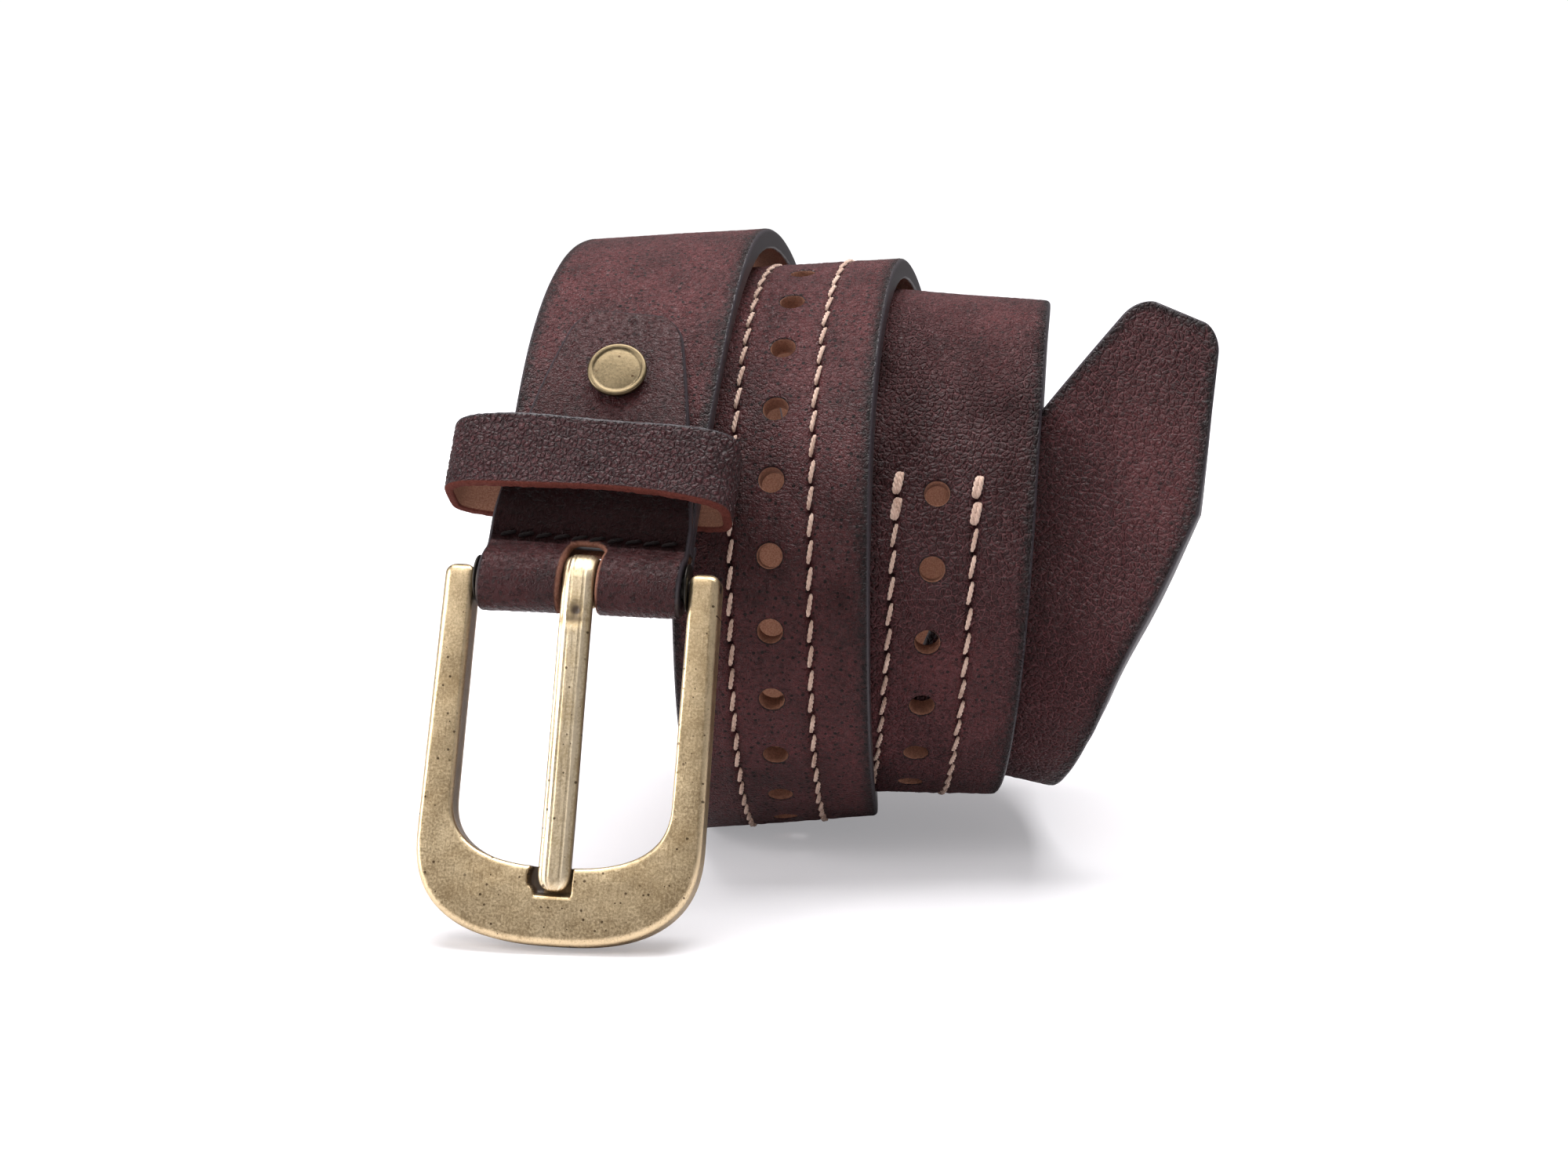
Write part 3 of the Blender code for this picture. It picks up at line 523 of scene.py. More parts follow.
def burnish(run, side):
    """How far the wax has darkened the grain: bands where the coil was pressed, broken up by noise."""
    share = np.interp(run / MM, BURNISH_AT, BURNISH)
    return np.clip(share * (1 + 0.6 * soft_noise(run / (9 * MM), side / (7 * MM), 6)), 0.0, 1.0)


def sewn_share(run):
    """One along the sewn stretch of the strap, fading to zero past its ends."""
    return ease((run - stitch_start()) / SEWN_START + 0.5) * ease((stitch_end() - run) / SEWN_END + 0.5)


def needle_pits(run, side):
    """One at the needle holes of the stitch rows, fading to zero round them."""
    away = np.abs(side) - STITCH_ROW
    count = round((stitch_end() - stitch_start()) / STITCH_PITCH)
    phase = (run - stitch_start()) / (stitch_end() - stitch_start()) * count
    from_pit = (phase - np.round(phase)) * STITCH_PITCH
    return sewn_share(run) * np.exp(-(away ** 2 + from_pit ** 2) / (0.65 * MM) ** 2)


def grain_relief(run, side):
    """Fine height of the grain face: slow waves, wrinkles, the sunk stitch rows and needle pits."""
    waves = 0.10 * soft_noise(run / (26 * MM), side / (17 * MM), 3)
    strength = pebbled_share(run, side)
    wide = np.minimum(cells(run / (3.1 * MM), side / (2.3 * MM), 7), 0.5)
    narrow = np.minimum(cells(run / (1.7 * MM), side / (1.6 * MM), 8), 0.4)
    creases = (0.06 + 0.2 * strength) * (wide - 0.3) + (0.08 + 0.4 * strength) * (narrow - 0.25)
    away = np.abs(side) - STITCH_ROW
    groove = -0.34 * np.exp(-(away / (0.75 * MM)) ** 2)
    pit = -0.6 * needle_pits(run, side)
    puff = 0.1 * np.exp(-((np.abs(away) - 1.9 * MM) / (0.9 * MM)) ** 2)
    return (waves + creases + sewn_share(run) * (groove + puff) + pit) * MM


def hole_rings():
    """Radius, depth and share of the square cell for the rings of one punched hole."""
    deep = STRAP_THICK / MM
    return ((3.5, 0.02, 0.35), (3.1, 0.06, 0.0), (2.82, -0.03, 0.0), (2.66, -0.17, 0.0), (2.56, -0.38, 0.0),
            (2.5, -0.7, 0.0), (2.48, -1.7, 0.0), (2.5, -2.8, 0.0), (2.5, 0.6 - deep, 0.0),
            (2.56, 0.22 - deep, 0.0), (2.75, 0.04 - deep, 0.0), (3.5, -deep, 0.35))


def build_strap(material):
    centres = hole_centres()
    stops = [STRAP_START]
    for centre in centres:
        stops += [centre - HOLE_CELL, centre + HOLE_CELL]
    ends = LENGTH - GRAIN_EDGE * edge_steps(0, 25, 50, 72, 90)
    runs = fill(stops + [LENGTH - TIP_TAPER, LENGTH - TIP_CORNER] + list(ends), MESH_STEP)
    sides = strap_columns()
    run, side = np.meshgrid(runs, sides, indexing="ij")
    limit = half_width(run)
    side = side * limit / HALF_WIDTH
    border = np.minimum(np.minimum(limit - np.abs(side), LENGTH - run), run - STRAP_START)
    relief = grain_relief(run, side) * ease(border / (2 * MM) + 0.1)
    top = -round_over(border, GRAIN_EDGE) + relief
    nap = 0.06 * MM * soft_noise(run / (2 * MM), side / (2 * MM), 21)
    low = -STRAP_THICK + round_over(border, FLESH_EDGE) + nap
    index = np.arange(run.size).reshape(run.shape)
    rows = len(runs) - 1
    keep = np.ones((rows, len(sides) - 1), bool)
    cut = np.zeros_like(keep)
    first = int(np.argmin(np.abs(sides + HOLE_CELL)))
    last = int(np.argmin(np.abs(sides - HOLE_CELL)))
    flat = [spots_of(run, side, top), spots_of(run, side, low)]
    rims = [border.ravel(), border.ravel()]
    fleshes = [np.zeros(run.size), np.ones(run.size)]
    strips = []
    base = 2 * run.size
    for centre in centres:
        start = int(np.argmin(np.abs(runs - (centre - HOLE_CELL))))
        end = int(np.argmin(np.abs(runs - (centre + HOLE_CELL))))
        keep[start:end, first:last] = False
        cut[start:end, first:last] = True
        loop = np.concatenate([index[start, first:last], index[start:end, last],
                               index[end, last:first:-1], index[end:start:-1, first]])
        square = flat[0][loop][:, :2] - [centre, 0.0]
        angle = np.arctan2(square[:, 1], square[:, 0])
        rings = [loop]
        for radius, depth, share in hole_rings():
            circle = np.stack([np.cos(angle), np.sin(angle)], -1) * radius * MM
            spot = mix(circle, square, share)
            rough = 0.05 * MM * soft_noise(spot[:, 0] / MM + centre / MM, spot[:, 1] / MM - depth, 31)
            near_top = relief.reshape(-1)[loop] * (1.0 if depth > -0.5 else 0.0)
            deep = np.full(len(loop), depth * MM) + near_top + (rough if depth < -0.5 else 0.0)
            flat.append(np.stack([spot[:, 0] + centre, spot[:, 1], deep], -1))
            rims.append(np.full(len(loop), 1.0 * MM if -0.3 < depth < -0.01 else 9 * MM))
            inside = depth < -0.3
            fleshes.append(np.full(len(loop), 1.0 if inside else 0.0))
            rings.append(base + np.arange(len(loop)))
            base += len(loop)
        rings.append(loop + run.size)
        for outer, inner in zip(rings[:-1], rings[1:]):
            strips.append(np.stack([outer, np.roll(outer, -1), np.roll(inner, -1), inner], -1))
    flat = np.concatenate(flat)
    faces = np.concatenate([sheet_faces(index, keep, cut)] + strips)
    points = place(flat[:, 0], flat[:, 1], flat[:, 2])
    # Colour darkening: painted shade in the needle pits, together with the real burnished bands
    stain_and_shade = np.maximum(needle_pits(flat[:, 0], flat[:, 1]), burnish(flat[:, 0], flat[:, 1]))
    make_piece("strap_leather", points, [faces], material, "strap_body", ["strap"], flat,
               {"rim": np.concatenate(rims), "flesh": np.concatenate(fleshes),
                "pebbled": pebbled_share(flat[:, 0], flat[:, 1]), "stain_and_shade": stain_and_shade})


# ---------------------------------------------------------------- chape

def roll_point(angle):
    return np.stack([ROLL_RADIUS * np.sin(angle), BAR_OUT + ROLL_RADIUS * np.cos(angle)], -1)


def roll_heading(angle):
    return np.array([-math.cos(angle), math.sin(angle)])


def bend_curve(start, heading_in, end, heading_out, pieces):
    reach = np.linalg.norm(end - start) * 0.4
    near = start + heading_in * reach
    far = end - heading_out * reach
    share = (np.arange(1, pieces) / pieces)[:, None]
    rest = 1 - share
    return (start * rest ** 3 + near * (3 * rest * rest * share) + far * (3 * rest * share * share)
            + end * share ** 3)


def chape_line():
    """Middle line (run, out) of the folded leather from the tab top round the bar, and its thickness."""
    leg_out = GAP + CHAPE_LEG / 2
    back_out = -STRAP_THICK - GAP - CHAPE_LEG / 2
    first = math.radians(38)
    last = math.radians(-205)
    edge = TAB_TOP - GRAIN_EDGE * 0.8 * edge_steps(90, 70, 48, 24)
    legs = np.concatenate([edge, np.linspace(TAB_TOP - GRAIN_EDGE * 0.8, CHAPE_LEG_START, 92)])
    leg = np.stack([legs, np.full(len(legs), leg_out)], -1)
    start = leg[-1]
    bend_in = bend_curve(start, np.array([-1.0, 0.0]), roll_point(first), roll_heading(first), 14)
    roll = roll_point(np.linspace(first, last, 74))
    finish = np.array([CHAPE_LEG_START, back_out])
    bend_out = bend_curve(roll_point(last), roll_heading(last), finish, np.array([1.0, 0.0]), 14)
    backs = np.linspace(CHAPE_LEG_START, CHAPE_BACK_END, 8)
    back = np.stack([backs, np.full(len(backs), back_out)], -1)
    line = np.concatenate([leg, bend_in, roll, bend_out, back])
    growing = mix(CHAPE_LEG, CHAPE_ROLL, ease(np.linspace(0, 1, 13)))
    shrinking = mix(CHAPE_ROLL, CHAPE_LEG, ease(np.linspace(0, 1, 13)))
    thick = np.concatenate([np.full(len(leg), CHAPE_LEG), growing, np.full(len(roll), CHAPE_ROLL), shrinking,
                            np.full(len(back), CHAPE_LEG)])
    return line, thick, len(leg), len(line) - len(back)


def tab_half_width(run):
    share = np.clip((run - TAB_NARROWS) / (TAB_TOP - TAB_NARROWS), 0.0, 1.0)
    corner = TAB_CORNER_DROP * round_over(TAB_TOP - run, TAB_CORNER) / TAB_CORNER
    return mix(CHAPE_HALF_WIDTH, TAB_TOP_HALF_WIDTH, share ** 1.25) - corner


def build_chape(material):
    line, thick, leg_end, back_start = chape_line()
    steps = np.linalg.norm(np.diff(line, axis=0), axis=1)
    arc = np.concatenate([[0.0], np.cumsum(steps)])
    slope = np.gradient(line, arc, axis=0)
    slope /= np.linalg.norm(slope, axis=1)[:, None]
    normal = np.stack([slope[:, 1], -slope[:, 0]], -1)
    normal[: leg_end - 1] = [0.0, 1.0]
    slot_top = arc[leg_end - 1] - 0.01 * MM
    slot_end = arc[back_start] - 0.4 * MM
    edge = CHAPE_HALF_WIDTH - GRAIN_EDGE * 0.8 * edge_steps(0, 24, 48, 70, 90)
    half = np.concatenate([np.linspace(SLOT_HALF_WIDTH, SLOT_HALF_WIDTH + MM, 6),
                           np.linspace(SLOT_HALF_WIDTH + 1.5 * MM, edge[0], 26)[:-1], edge])
    middle = np.linspace(-SLOT_HALF_WIDTH, SLOT_HALF_WIDTH, 9)[1:-1]
    sides = np.concatenate([-half[::-1], middle, half])
    u, side = np.meshgrid(arc, sides, indexing="ij")
    run = np.broadcast_to(line[:, 0][:, None], u.shape)
    in_leg = np.arange(len(arc))[:, None] < leg_end
    limit = np.where(in_leg, tab_half_width(run), CHAPE_HALF_WIDTH)
    inside = np.minimum(u - slot_top, slot_end - u)
    closing = mix(SLOT_HALF_WIDTH - SLOT_CORNER, SLOT_HALF_WIDTH, ease(-inside / (3 * MM)))
    slot_half = np.where(inside > 0, SLOT_HALF_WIDTH - round_over(inside, SLOT_CORNER), closing)
    outer = np.clip((np.abs(side) - SLOT_HALF_WIDTH) / (CHAPE_HALF_WIDTH - SLOT_HALF_WIDTH), 0.0, 1.0)
    inner = np.minimum(np.abs(side) / SLOT_HALF_WIDTH, 1.0)
    side = np.sign(side) * (inner * slot_half + outer * (limit - slot_half))
    border = np.minimum(np.minimum(limit - np.abs(side), u), arc[-1] - u)
    beyond = np.maximum(0.0, np.abs(side) - SLOT_HALF_WIDTH + SLOT_CORNER)
    from_slot = np.maximum(0.0, np.hypot(beyond, np.maximum(0.0, SLOT_CORNER - inside)) - SLOT_CORNER)
    rounding = np.minimum(border, from_slot)
    relief = 0.10 * soft_noise(u / (11 * MM), side / (9 * MM), 41)
    relief += 0.3 * (np.minimum(cells(u / (1.5 * MM), side / (1.5 * MM), 43), 0.45) - 0.25)
    seam = -0.45 * np.exp(-((run - SEAM_AT) / (0.7 * MM)) ** 2) * in_leg
    press = -0.22 * np.exp(-((np.hypot(run - RIVET_AT, side) - RIVET_RADIUS) / (1.1 * MM)) ** 2) * in_leg
    relief = (relief + seam + press) * MM * ease(rounding / (1.6 * MM))
    top = thick[:, None] / 2 - round_over(rounding, 0.8 * GRAIN_EDGE) + relief
    low = -thick[:, None] / 2 + round_over(rounding, 0.3 * MM)
    index = np.arange(u.size).reshape(u.shape)
    keep = np.ones((len(arc) - 1, len(sides) - 1), bool)
    open_rows = (inside[:-1, 0] > 0) & (inside[1:, 0] > 0)
    first = len(half) - 1
    keep[open_rows, first:first + len(middle) + 1] = False
    faces = sheet_faces(index, keep, np.zeros_like(keep))
    points = []
    for offset in (top, low):
        spot_run = run + normal[:, 0][:, None] * offset
        spot_out = line[:, 1][:, None] + normal[:, 1][:, None] * offset
        points.append(place(spot_run, side, spot_out).reshape(-1, 3))
    flat = both_faces(u, side, top, low)
    raw = 0.5 * np.exp(-(from_slot / (0.6 * MM)) ** 4)
    # Painted shade: the leg below the keeper is darkened towards ink, with less specular, for the keeper's
    # shadow
    stain_and_shade = 0.9 * in_leg * ease((LEG_SHADE_REACH - run) / (4 * MM)) * ease(from_slot / (2 * MM))
    make_piece("chape_leather", np.concatenate(points), [faces], material, "strap_body", ["chape"],
               flat, {"rim": np.tile(border.ravel(), 2),
                                         "flesh": np.concatenate([raw.ravel(), np.ones(u.size)]),
                                         "stain_and_shade": np.concatenate([stain_and_shade.ravel(), np.zeros(u.size)])})


# ---------------------------------------------------------------- keeper

def keeper_outline(count):
    """Evenly spaced points (across, out) on the middle line of the loop, with outward normals."""
    angle = np.linspace(0, math.tau, 6001)[:-1]
    cosine = np.cos(angle)
    sine = np.sin(angle)
    power = np.where(sine > 0, KEEPER_FULLNESS, KEEPER_FLATNESS)
    across = np.sign(cosine) * np.abs(cosine) ** power * KEEPER_HALF_WIDTH
    out = np.sign(sine) * np.abs(sine) ** power * (KEEPER_FRONT - KEEPER_BACK) / 2
    dense = np.stack([across + KEEPER_SHIFT, out + (KEEPER_FRONT + KEEPER_BACK) / 2], -1)
    closed = np.vstack([dense, dense[:1]])
    reach = np.concatenate([[0.0], np.cumsum(np.linalg.norm(np.diff(closed, axis=0), axis=1))])
    spots = np.linspace(0, reach[-1], count + 1)[:-1]
    line = np.stack([np.interp(spots, reach, closed[:, axis]) for axis in range(2)], -1)
    for _ in range(6):
        line = (np.roll(line, 1, axis=0) + 2 * line + np.roll(line, -1, axis=0)) / 4
    slope = np.roll(line, -1, axis=0) - np.roll(line, 1, axis=0)
    slope /= np.linalg.norm(slope, axis=1)[:, None]
    return line, np.stack([slope[:, 1], -slope[:, 0]], -1), spots


def build_keeper(material):
    line, normal, spots = keeper_outline(400)
    half_band = KEEPER_BAND / 2
    edge = half_band - 0.5 * MM * edge_steps(0, 30, 60, 90)
    half = np.concatenate([np.linspace(0, edge[0], 20)[:-1], edge])
    sides = np.concatenate([-half[:0:-1], half])
    u, side = np.meshgrid(spots, sides, indexing="ij")
    border = half_band - np.abs(side)
    lap = math.tau * u / (spots[-1] + spots[1])
    relief = 0.14 * np.sin(2 * lap + 0.6)
    relief += 0.5 * (np.minimum(cells(u / (1.35 * MM), side / (1.3 * MM), 51), 0.45) - 0.25)
    relief = relief * MM * ease(border / (1.2 * MM))
    top = KEEPER_THICK / 2 - round_over(border, 0.5 * MM) + relief
    low = -KEEPER_THICK / 2 + round_over(border, 0.25 * MM)
    wander = 0.25 * MM * np.sin(3 * lap + 1.0) * np.sign(side) * ease(np.abs(side) / half_band)
    ragged = 0.10 * MM * soft_noise(u / (0.9 * MM), np.sign(side), 53) * (np.abs(side) > edge[1])
    index = np.vstack([np.arange(u.size).reshape(u.shape), np.arange(len(sides))[None]])
    keep = np.ones((len(spots), len(sides) - 1), bool)
    faces = sheet_faces(index, keep, np.zeros_like(keep))
    points = []
    for offset in (top, low):
        across = line[:, 0][:, None] + normal[:, 0][:, None] * offset
        out = line[:, 1][:, None] + normal[:, 1][:, None] * offset
        slope = across * KEEPER_SKEW + (out - KEEPER_FRONT) * KEEPER_DROOP
        points.append(place_straight(KEEPER_AT + side + wander + ragged + slope, across, out).reshape(-1, 3))
    flat = both_faces(u, side, top, low)
    raw = 0.5 * (side < 0) * np.exp(-(border / (0.45 * MM)) ** 4)
    under = 1 - 0.5 * (side < 0) * np.exp(-(border / (0.45 * MM)) ** 4)
    rim = np.where(side < 0, 9 * MM, border)
    make_piece("keeper_leather", np.concatenate(points), [faces], material, "keeper", ["keeper_loop"],
               flat, {"rim": np.concatenate([rim.ravel(), np.full(u.size, 9 * MM)]),
                                         "flesh": np.concatenate([raw.ravel(), under.ravel()]),
                                         "pebbled": np.ones(2 * u.size)})


def build_staple(material):
    """Bent wire staple that closes the loop behind."""
    half = 4.5 * MM
    low = KEEPER_BACK - KEEPER_THICK / 2 - 0.5 * MM
    bend = np.linspace(0, math.pi / 2, 7)
    corner = 0.8 * MM
    reach = corner * (1 - np.cos(bend))
    drop = corner * (1 - np.sin(bend))
    side = np.concatenate([[-half], -half + reach, half - reach[::-1], [half]])
    deep = np.concatenate([[1.2 * MM], drop, drop[::-1], [1.2 * MM]])
    angle = np.linspace(0, math.tau, 13)[:-1]
    slope = side * KEEPER_SKEW + (low - KEEPER_FRONT) * KEEPER_DROOP
    heading = np.gradient(np.stack([side, deep], -1), axis=0)
    heading /= np.linalg.norm(heading, axis=1)[:, None] + 1e-12
    ring = 0.42 * MM
    run = KEEPER_AT + slope[:, None] + ring * np.cos(angle)[None]
    across = KEEPER_SHIFT + side[:, None] - heading[:, 1][:, None] * ring * np.sin(angle)[None]
    out = low + deep[:, None] + heading[:, 0][:, None] * ring * np.sin(angle)[None]
    points = place_straight(run, across, out).reshape(-1, 3)
    flat = np.stack([run, across, out], -1).reshape(-1, 3)
    make_piece("keeper_staple_wire", points, tube_faces(len(side), 12), material, "keeper", ["keeper_staple"],
               flat)


# ---------------------------------------------------------------- rivet

def turned_piece(name, profile, material, part_node, seed):
    """Piece turned about the axis that stands out of the strap at the rivet."""
    sides = 96
    centre = place(RIVET_AT, 0.0, 0.0)
    rise = place(RIVET_AT, 0.0, MM) - centre
    across = place(RIVET_AT, MM, 0.0) - centre
    rise /= np.linalg.norm(rise)
    across /= np.linalg.norm(across)
    along = np.cross(rise, across)
    along /= np.linalg.norm(along)
    across = np.cross(along, rise)
    angle = np.linspace(0, math.tau, sides + 1)[:-1]
    radius = np.array([item[0] for item in profile])[:, None] * MM
    out = np.array([item[1] for item in profile])[:, None] * MM
    first = radius * np.cos(angle)
    second = radius * np.sin(angle)
    out = out + 0.025 * MM * soft_noise(first / (1.6 * MM), second / (1.6 * MM), seed)
    spots = centre + first[..., None] * along + second[..., None] * across + out[..., None] * rise
    flat = spots_of(first, second, out)
    faces = tube_faces(len(profile), sides)
    wear_and_shade = np.array([item[2] for item in profile])[:, None] * np.ones(sides)
    make_piece(name, spots.reshape(-1, 3), faces, material, "strap_body", [part_node], flat,
               {"wear_and_shade": wear_and_shade.ravel()})


def build_rivets(material):
    base = (2 * GAP + CHAPE_LEG) / MM
    top = base + RIVET_HEIGHT / MM
    profile = [(1.9, -4.6, 0.3), (1.9, base, 0.0), (5.5, base + 0.02, 0.0), (5.85, base + 0.12, 0.1)]
    for angle in range(0, 91, 15):
        turn = math.radians(angle)
        profile.append((5.5 + 0.5 * math.cos(turn), top - 0.5 + 0.5 * math.sin(turn), 0.5 + 0.5 * angle / 90))
    profile += [(5.2, top - 0.01, 1.0), (5.0, top - 0.06, 0.8), (4.82, top - 0.2, 0.2),
                (4.65, top - 0.27, 0.1), (4.4, top - 0.24, 0.5), (3.9, top - 0.17, 0.6),
                (3.0, top - 0.1, 0.6), (1.8, top - 0.05, 0.6),
                (0.6, top - 0.03, 0.6), (0.05, top - 0.03, 0.6)]
    turned_piece("rivet_cap_brass", profile, material, "rivet_cap", 61)
    low = -(STRAP_THICK + 2 * GAP) / MM
    profile = [(0.05, low, 0.3), (5.0, low, 0.3), (5.25, low - 0.25, 0.6), (5.1, low - 0.6, 0.9),
               (4.6, low - 0.85, 1.0), (3.6, low - 1.0, 0.7), (2.0, low - 0.8, 0.4), (0.8, low - 0.62, 0.4),
               (0.05, low - 0.6, 0.4)]
    turned_piece("rivet_back_brass", profile[::-1], material, "rivet_back", 62)


# ---------------------------------------------------------------- buckle

def frame_edge(share, half, length, corner, taper):
    """Points (across, along) on a U outline, share 0 at the left arm top, 1 at the right arm top."""
    down = np.minimum(share, 1 - share) / ARM_SHARE
    side = np.where(share < 0.5, -1.0, 1.0)
    arm_across = side * (half - taper * (1 - down))
    arm_along = mix(ARM_TOP, corner - length, down)
    angle = math.pi * np.clip((share - ARM_SHARE) / (1 - 2 * ARM_SHARE), 0, 1)
    cosine = np.cos(angle)
    sine = np.maximum(0.0, np.sin(angle))
    bend_across = -np.sign(cosine) * np.abs(cosine) ** (2 / CORNER_POWER) * half
    bend_along = corner - length - sine ** (2 / CORNER_POWER) * corner
    on_arm = (share < ARM_SHARE) | (share > 1 - ARM_SHARE)
    return np.stack([np.where(on_arm, arm_across, bend_across), np.where(on_arm, arm_along, bend_along)], -1)


def frame_section(width):
    """Closed section: distance in from the outer edge, height, wear; front face first."""
    half = FRAME_FRONT
    low = -FRAME_BACK
    outer = 1.5 * MM
    inner = 0.9 * MM
    back = 0.7 * MM
    spots = []
    for turn in np.radians(np.linspace(0, 90, 7)):
        spots.append((outer * (1 - math.cos(turn)), half - outer * (1 - math.sin(turn)), math.sin(2 * turn)))
    for share in np.linspace(0, 1, 33)[1:-1]:
        spots.append((mix(outer, width - inner, share), half, 0.0))
    for turn in np.radians(np.linspace(90, 0, 6)):
        rise = half - inner * (1 - math.sin(turn))
        spots.append((width - inner * (1 - math.cos(turn)), rise, math.sin(2 * turn)))
    spots += [(width, mix(half - inner, low + back, share), -0.75) for share in (0.2, 0.4, 0.6, 0.8)]
    for turn in np.radians(np.linspace(0, 90, 5)):
        worn = 0.3 * math.sin(2 * turn)
        spots.append((width - back * (1 - math.cos(turn)), low + back * (1 - math.sin(turn)), worn))
    spots += [(mix(width - back, back, share), low, -0.3) for share in (0.25, 0.5, 0.75)]
    for turn in np.radians(np.linspace(90, 0, 5)):
        worn = 0.3 * math.sin(2 * turn)
        spots.append((back * (1 - math.cos(turn)), low + back * (1 - math.sin(turn)), worn))
    spots += [(0.0, mix(low + back, half - outer, share), -0.1) for share in (0.2, 0.4, 0.6, 0.8)]
    return np.array(spots)


def build_frame(material):
    arm_length = (FRAME_LENGTH - FRAME_CORNER + ARM_TOP) / ARM_SHARE
    rounded = ARM_ROUND * (1 - np.cos(np.radians([0, 15, 30, 45, 60, 75, 90]))) / arm_length
    arm = np.concatenate([rounded, np.linspace(rounded[-1], ARM_SHARE, 52)[1:]])
    bend = np.linspace(ARM_SHARE, 0.46, 76)[1:]
    rest = np.linspace(0.46, 0.5, 26)[1:]
    half = np.concatenate([arm, bend, rest])
    shares = np.concatenate([half, 1 - half[-2::-1]])
    outer = frame_edge(shares, FRAME_HALF_WIDTH, FRAME_LENGTH, FRAME_CORNER, ARM_TAPER)
    inner = frame_edge(shares, OPENING_HALF_WIDTH, OPENING_LENGTH, OPENING_CORNER, 0.0)
    inward = inner - outer
    width = np.linalg.norm(inward, axis=1)
    inward /= width[:, None]
    sections = np.array([frame_section(value) for value in width])
    into, height, wear_and_shade = sections[..., 0], sections[..., 1], sections[..., 2]
    middle = width[:, None] / 2
    from_end = np.minimum(shares, 1 - shares) * arm_length
    inset = round_over(from_end, ARM_ROUND)[:, None]
    into = middle + (into - middle) * (1 - inset / middle * 1.15)
    height = height * (1 - inset / FRAME_FRONT)
    across = outer[:, 0][:, None] + inward[:, 0][:, None] * into
    along = outer[:, 1][:, None] + inward[:, 1][:, None] * into
    front = ease(height / FRAME_FRONT * 2 - 1)
    crown = front * 0.28 * MM * (1 - (2 * into / width[:, None] - 1) ** 2)
    dents = 0.07 * soft_noise(across / (7 * MM), along / (7 * MM), 71)
    dents = dents + 0.03 * soft_noise(across / (2 * MM), along / (2 * MM), 72)
    height = height + crown - 0.15 * MM * front + dents * MM
    slack = 0.5 * MM * soft_noise(along / (1.6 * MM), across / (1.6 * MM), 73)
    curve = 1.6 * MM * ease((-OPENING_LENGTH - 2 * MM - along) / (4 * MM))
    beside = ease(np.minimum(across - NOTCH_LEFT - curve + slack, NOTCH_RIGHT - across) / (0.6 * MM) + 0.3)
    inside = ease((along + OPENING_LENGTH + NOTCH_LENGTH) / (1.2 * MM))
    floor_height = FRAME_FRONT - NOTCH_DEPTH
    deep = beside * inside
    lowered = np.where(height > floor_height, mix(height, floor_height, deep), height)
    points = bar_place(along, across, lowered).reshape(-1, 3)
    flat = np.stack([across, along, lowered], -1).reshape(-1, 3)
    # Patina on the notch floor; left of the prong, where the gap beside it shows, it is darker still as
    # painted shade
    shaded = np.where(across < -PRONG_WIDTH / 3, -1.5, -0.6)
    wear_and_shade = np.where((deep > 0.3) & (height > floor_height), shaded, wear_and_shade)
    make_piece("buckle_frame_brass", points, tube_faces(len(shares), into.shape[1]), material, "buckle",
               ["buckle_frame"], flat, {"wear_and_shade": wear_and_shade.ravel()})


def lathe_bar(profile):
    angle = np.linspace(0, math.tau, 49)[:-1]
    across = np.array([item[0] for item in profile])[:, None] * np.ones(48)
    radius = np.array([item[1] for item in profile])[:, None]
    along = radius * np.sin(angle)
    out = radius * np.cos(angle)
    return bar_place(along, across, out).reshape(-1, 3), np.stack([along, across, out], -1).reshape(-1, 3)


def build_bar(material):
    collar = CHAPE_HALF_WIDTH + 2 * GAP
    collar_end = OPENING_HALF_WIDTH - GAP
    soft = 0.2 * MM
    end = FRAME_HALF_WIDTH - 0.35 * MM
    half = [(end, 0.2 * MM), (end - 0.1 * MM, 0.9 * MM), (end - 0.3 * MM, BAR_END_RADIUS - soft),
            (end - 0.6 * MM, BAR_END_RADIUS), (collar_end + soft / 4, BAR_END_RADIUS),
            (collar_end, BAR_COLLAR_RADIUS - soft), (collar_end - soft, BAR_COLLAR_RADIUS),
            (collar + soft, BAR_COLLAR_RADIUS), (collar, BAR_COLLAR_RADIUS - soft),
            (collar - soft / 4, BAR_RADIUS)]
    profile = [(-across, radius) for across, radius in half] + half[::-1]
    points, flat = lathe_bar(profile)
    make_piece("buckle_bar_steel", points, tube_faces(len(profile), 48), material, "buckle", ["buckle_bar"],
               flat, sharp=math.radians(50))


# ---------------------------------------------------------------- prong

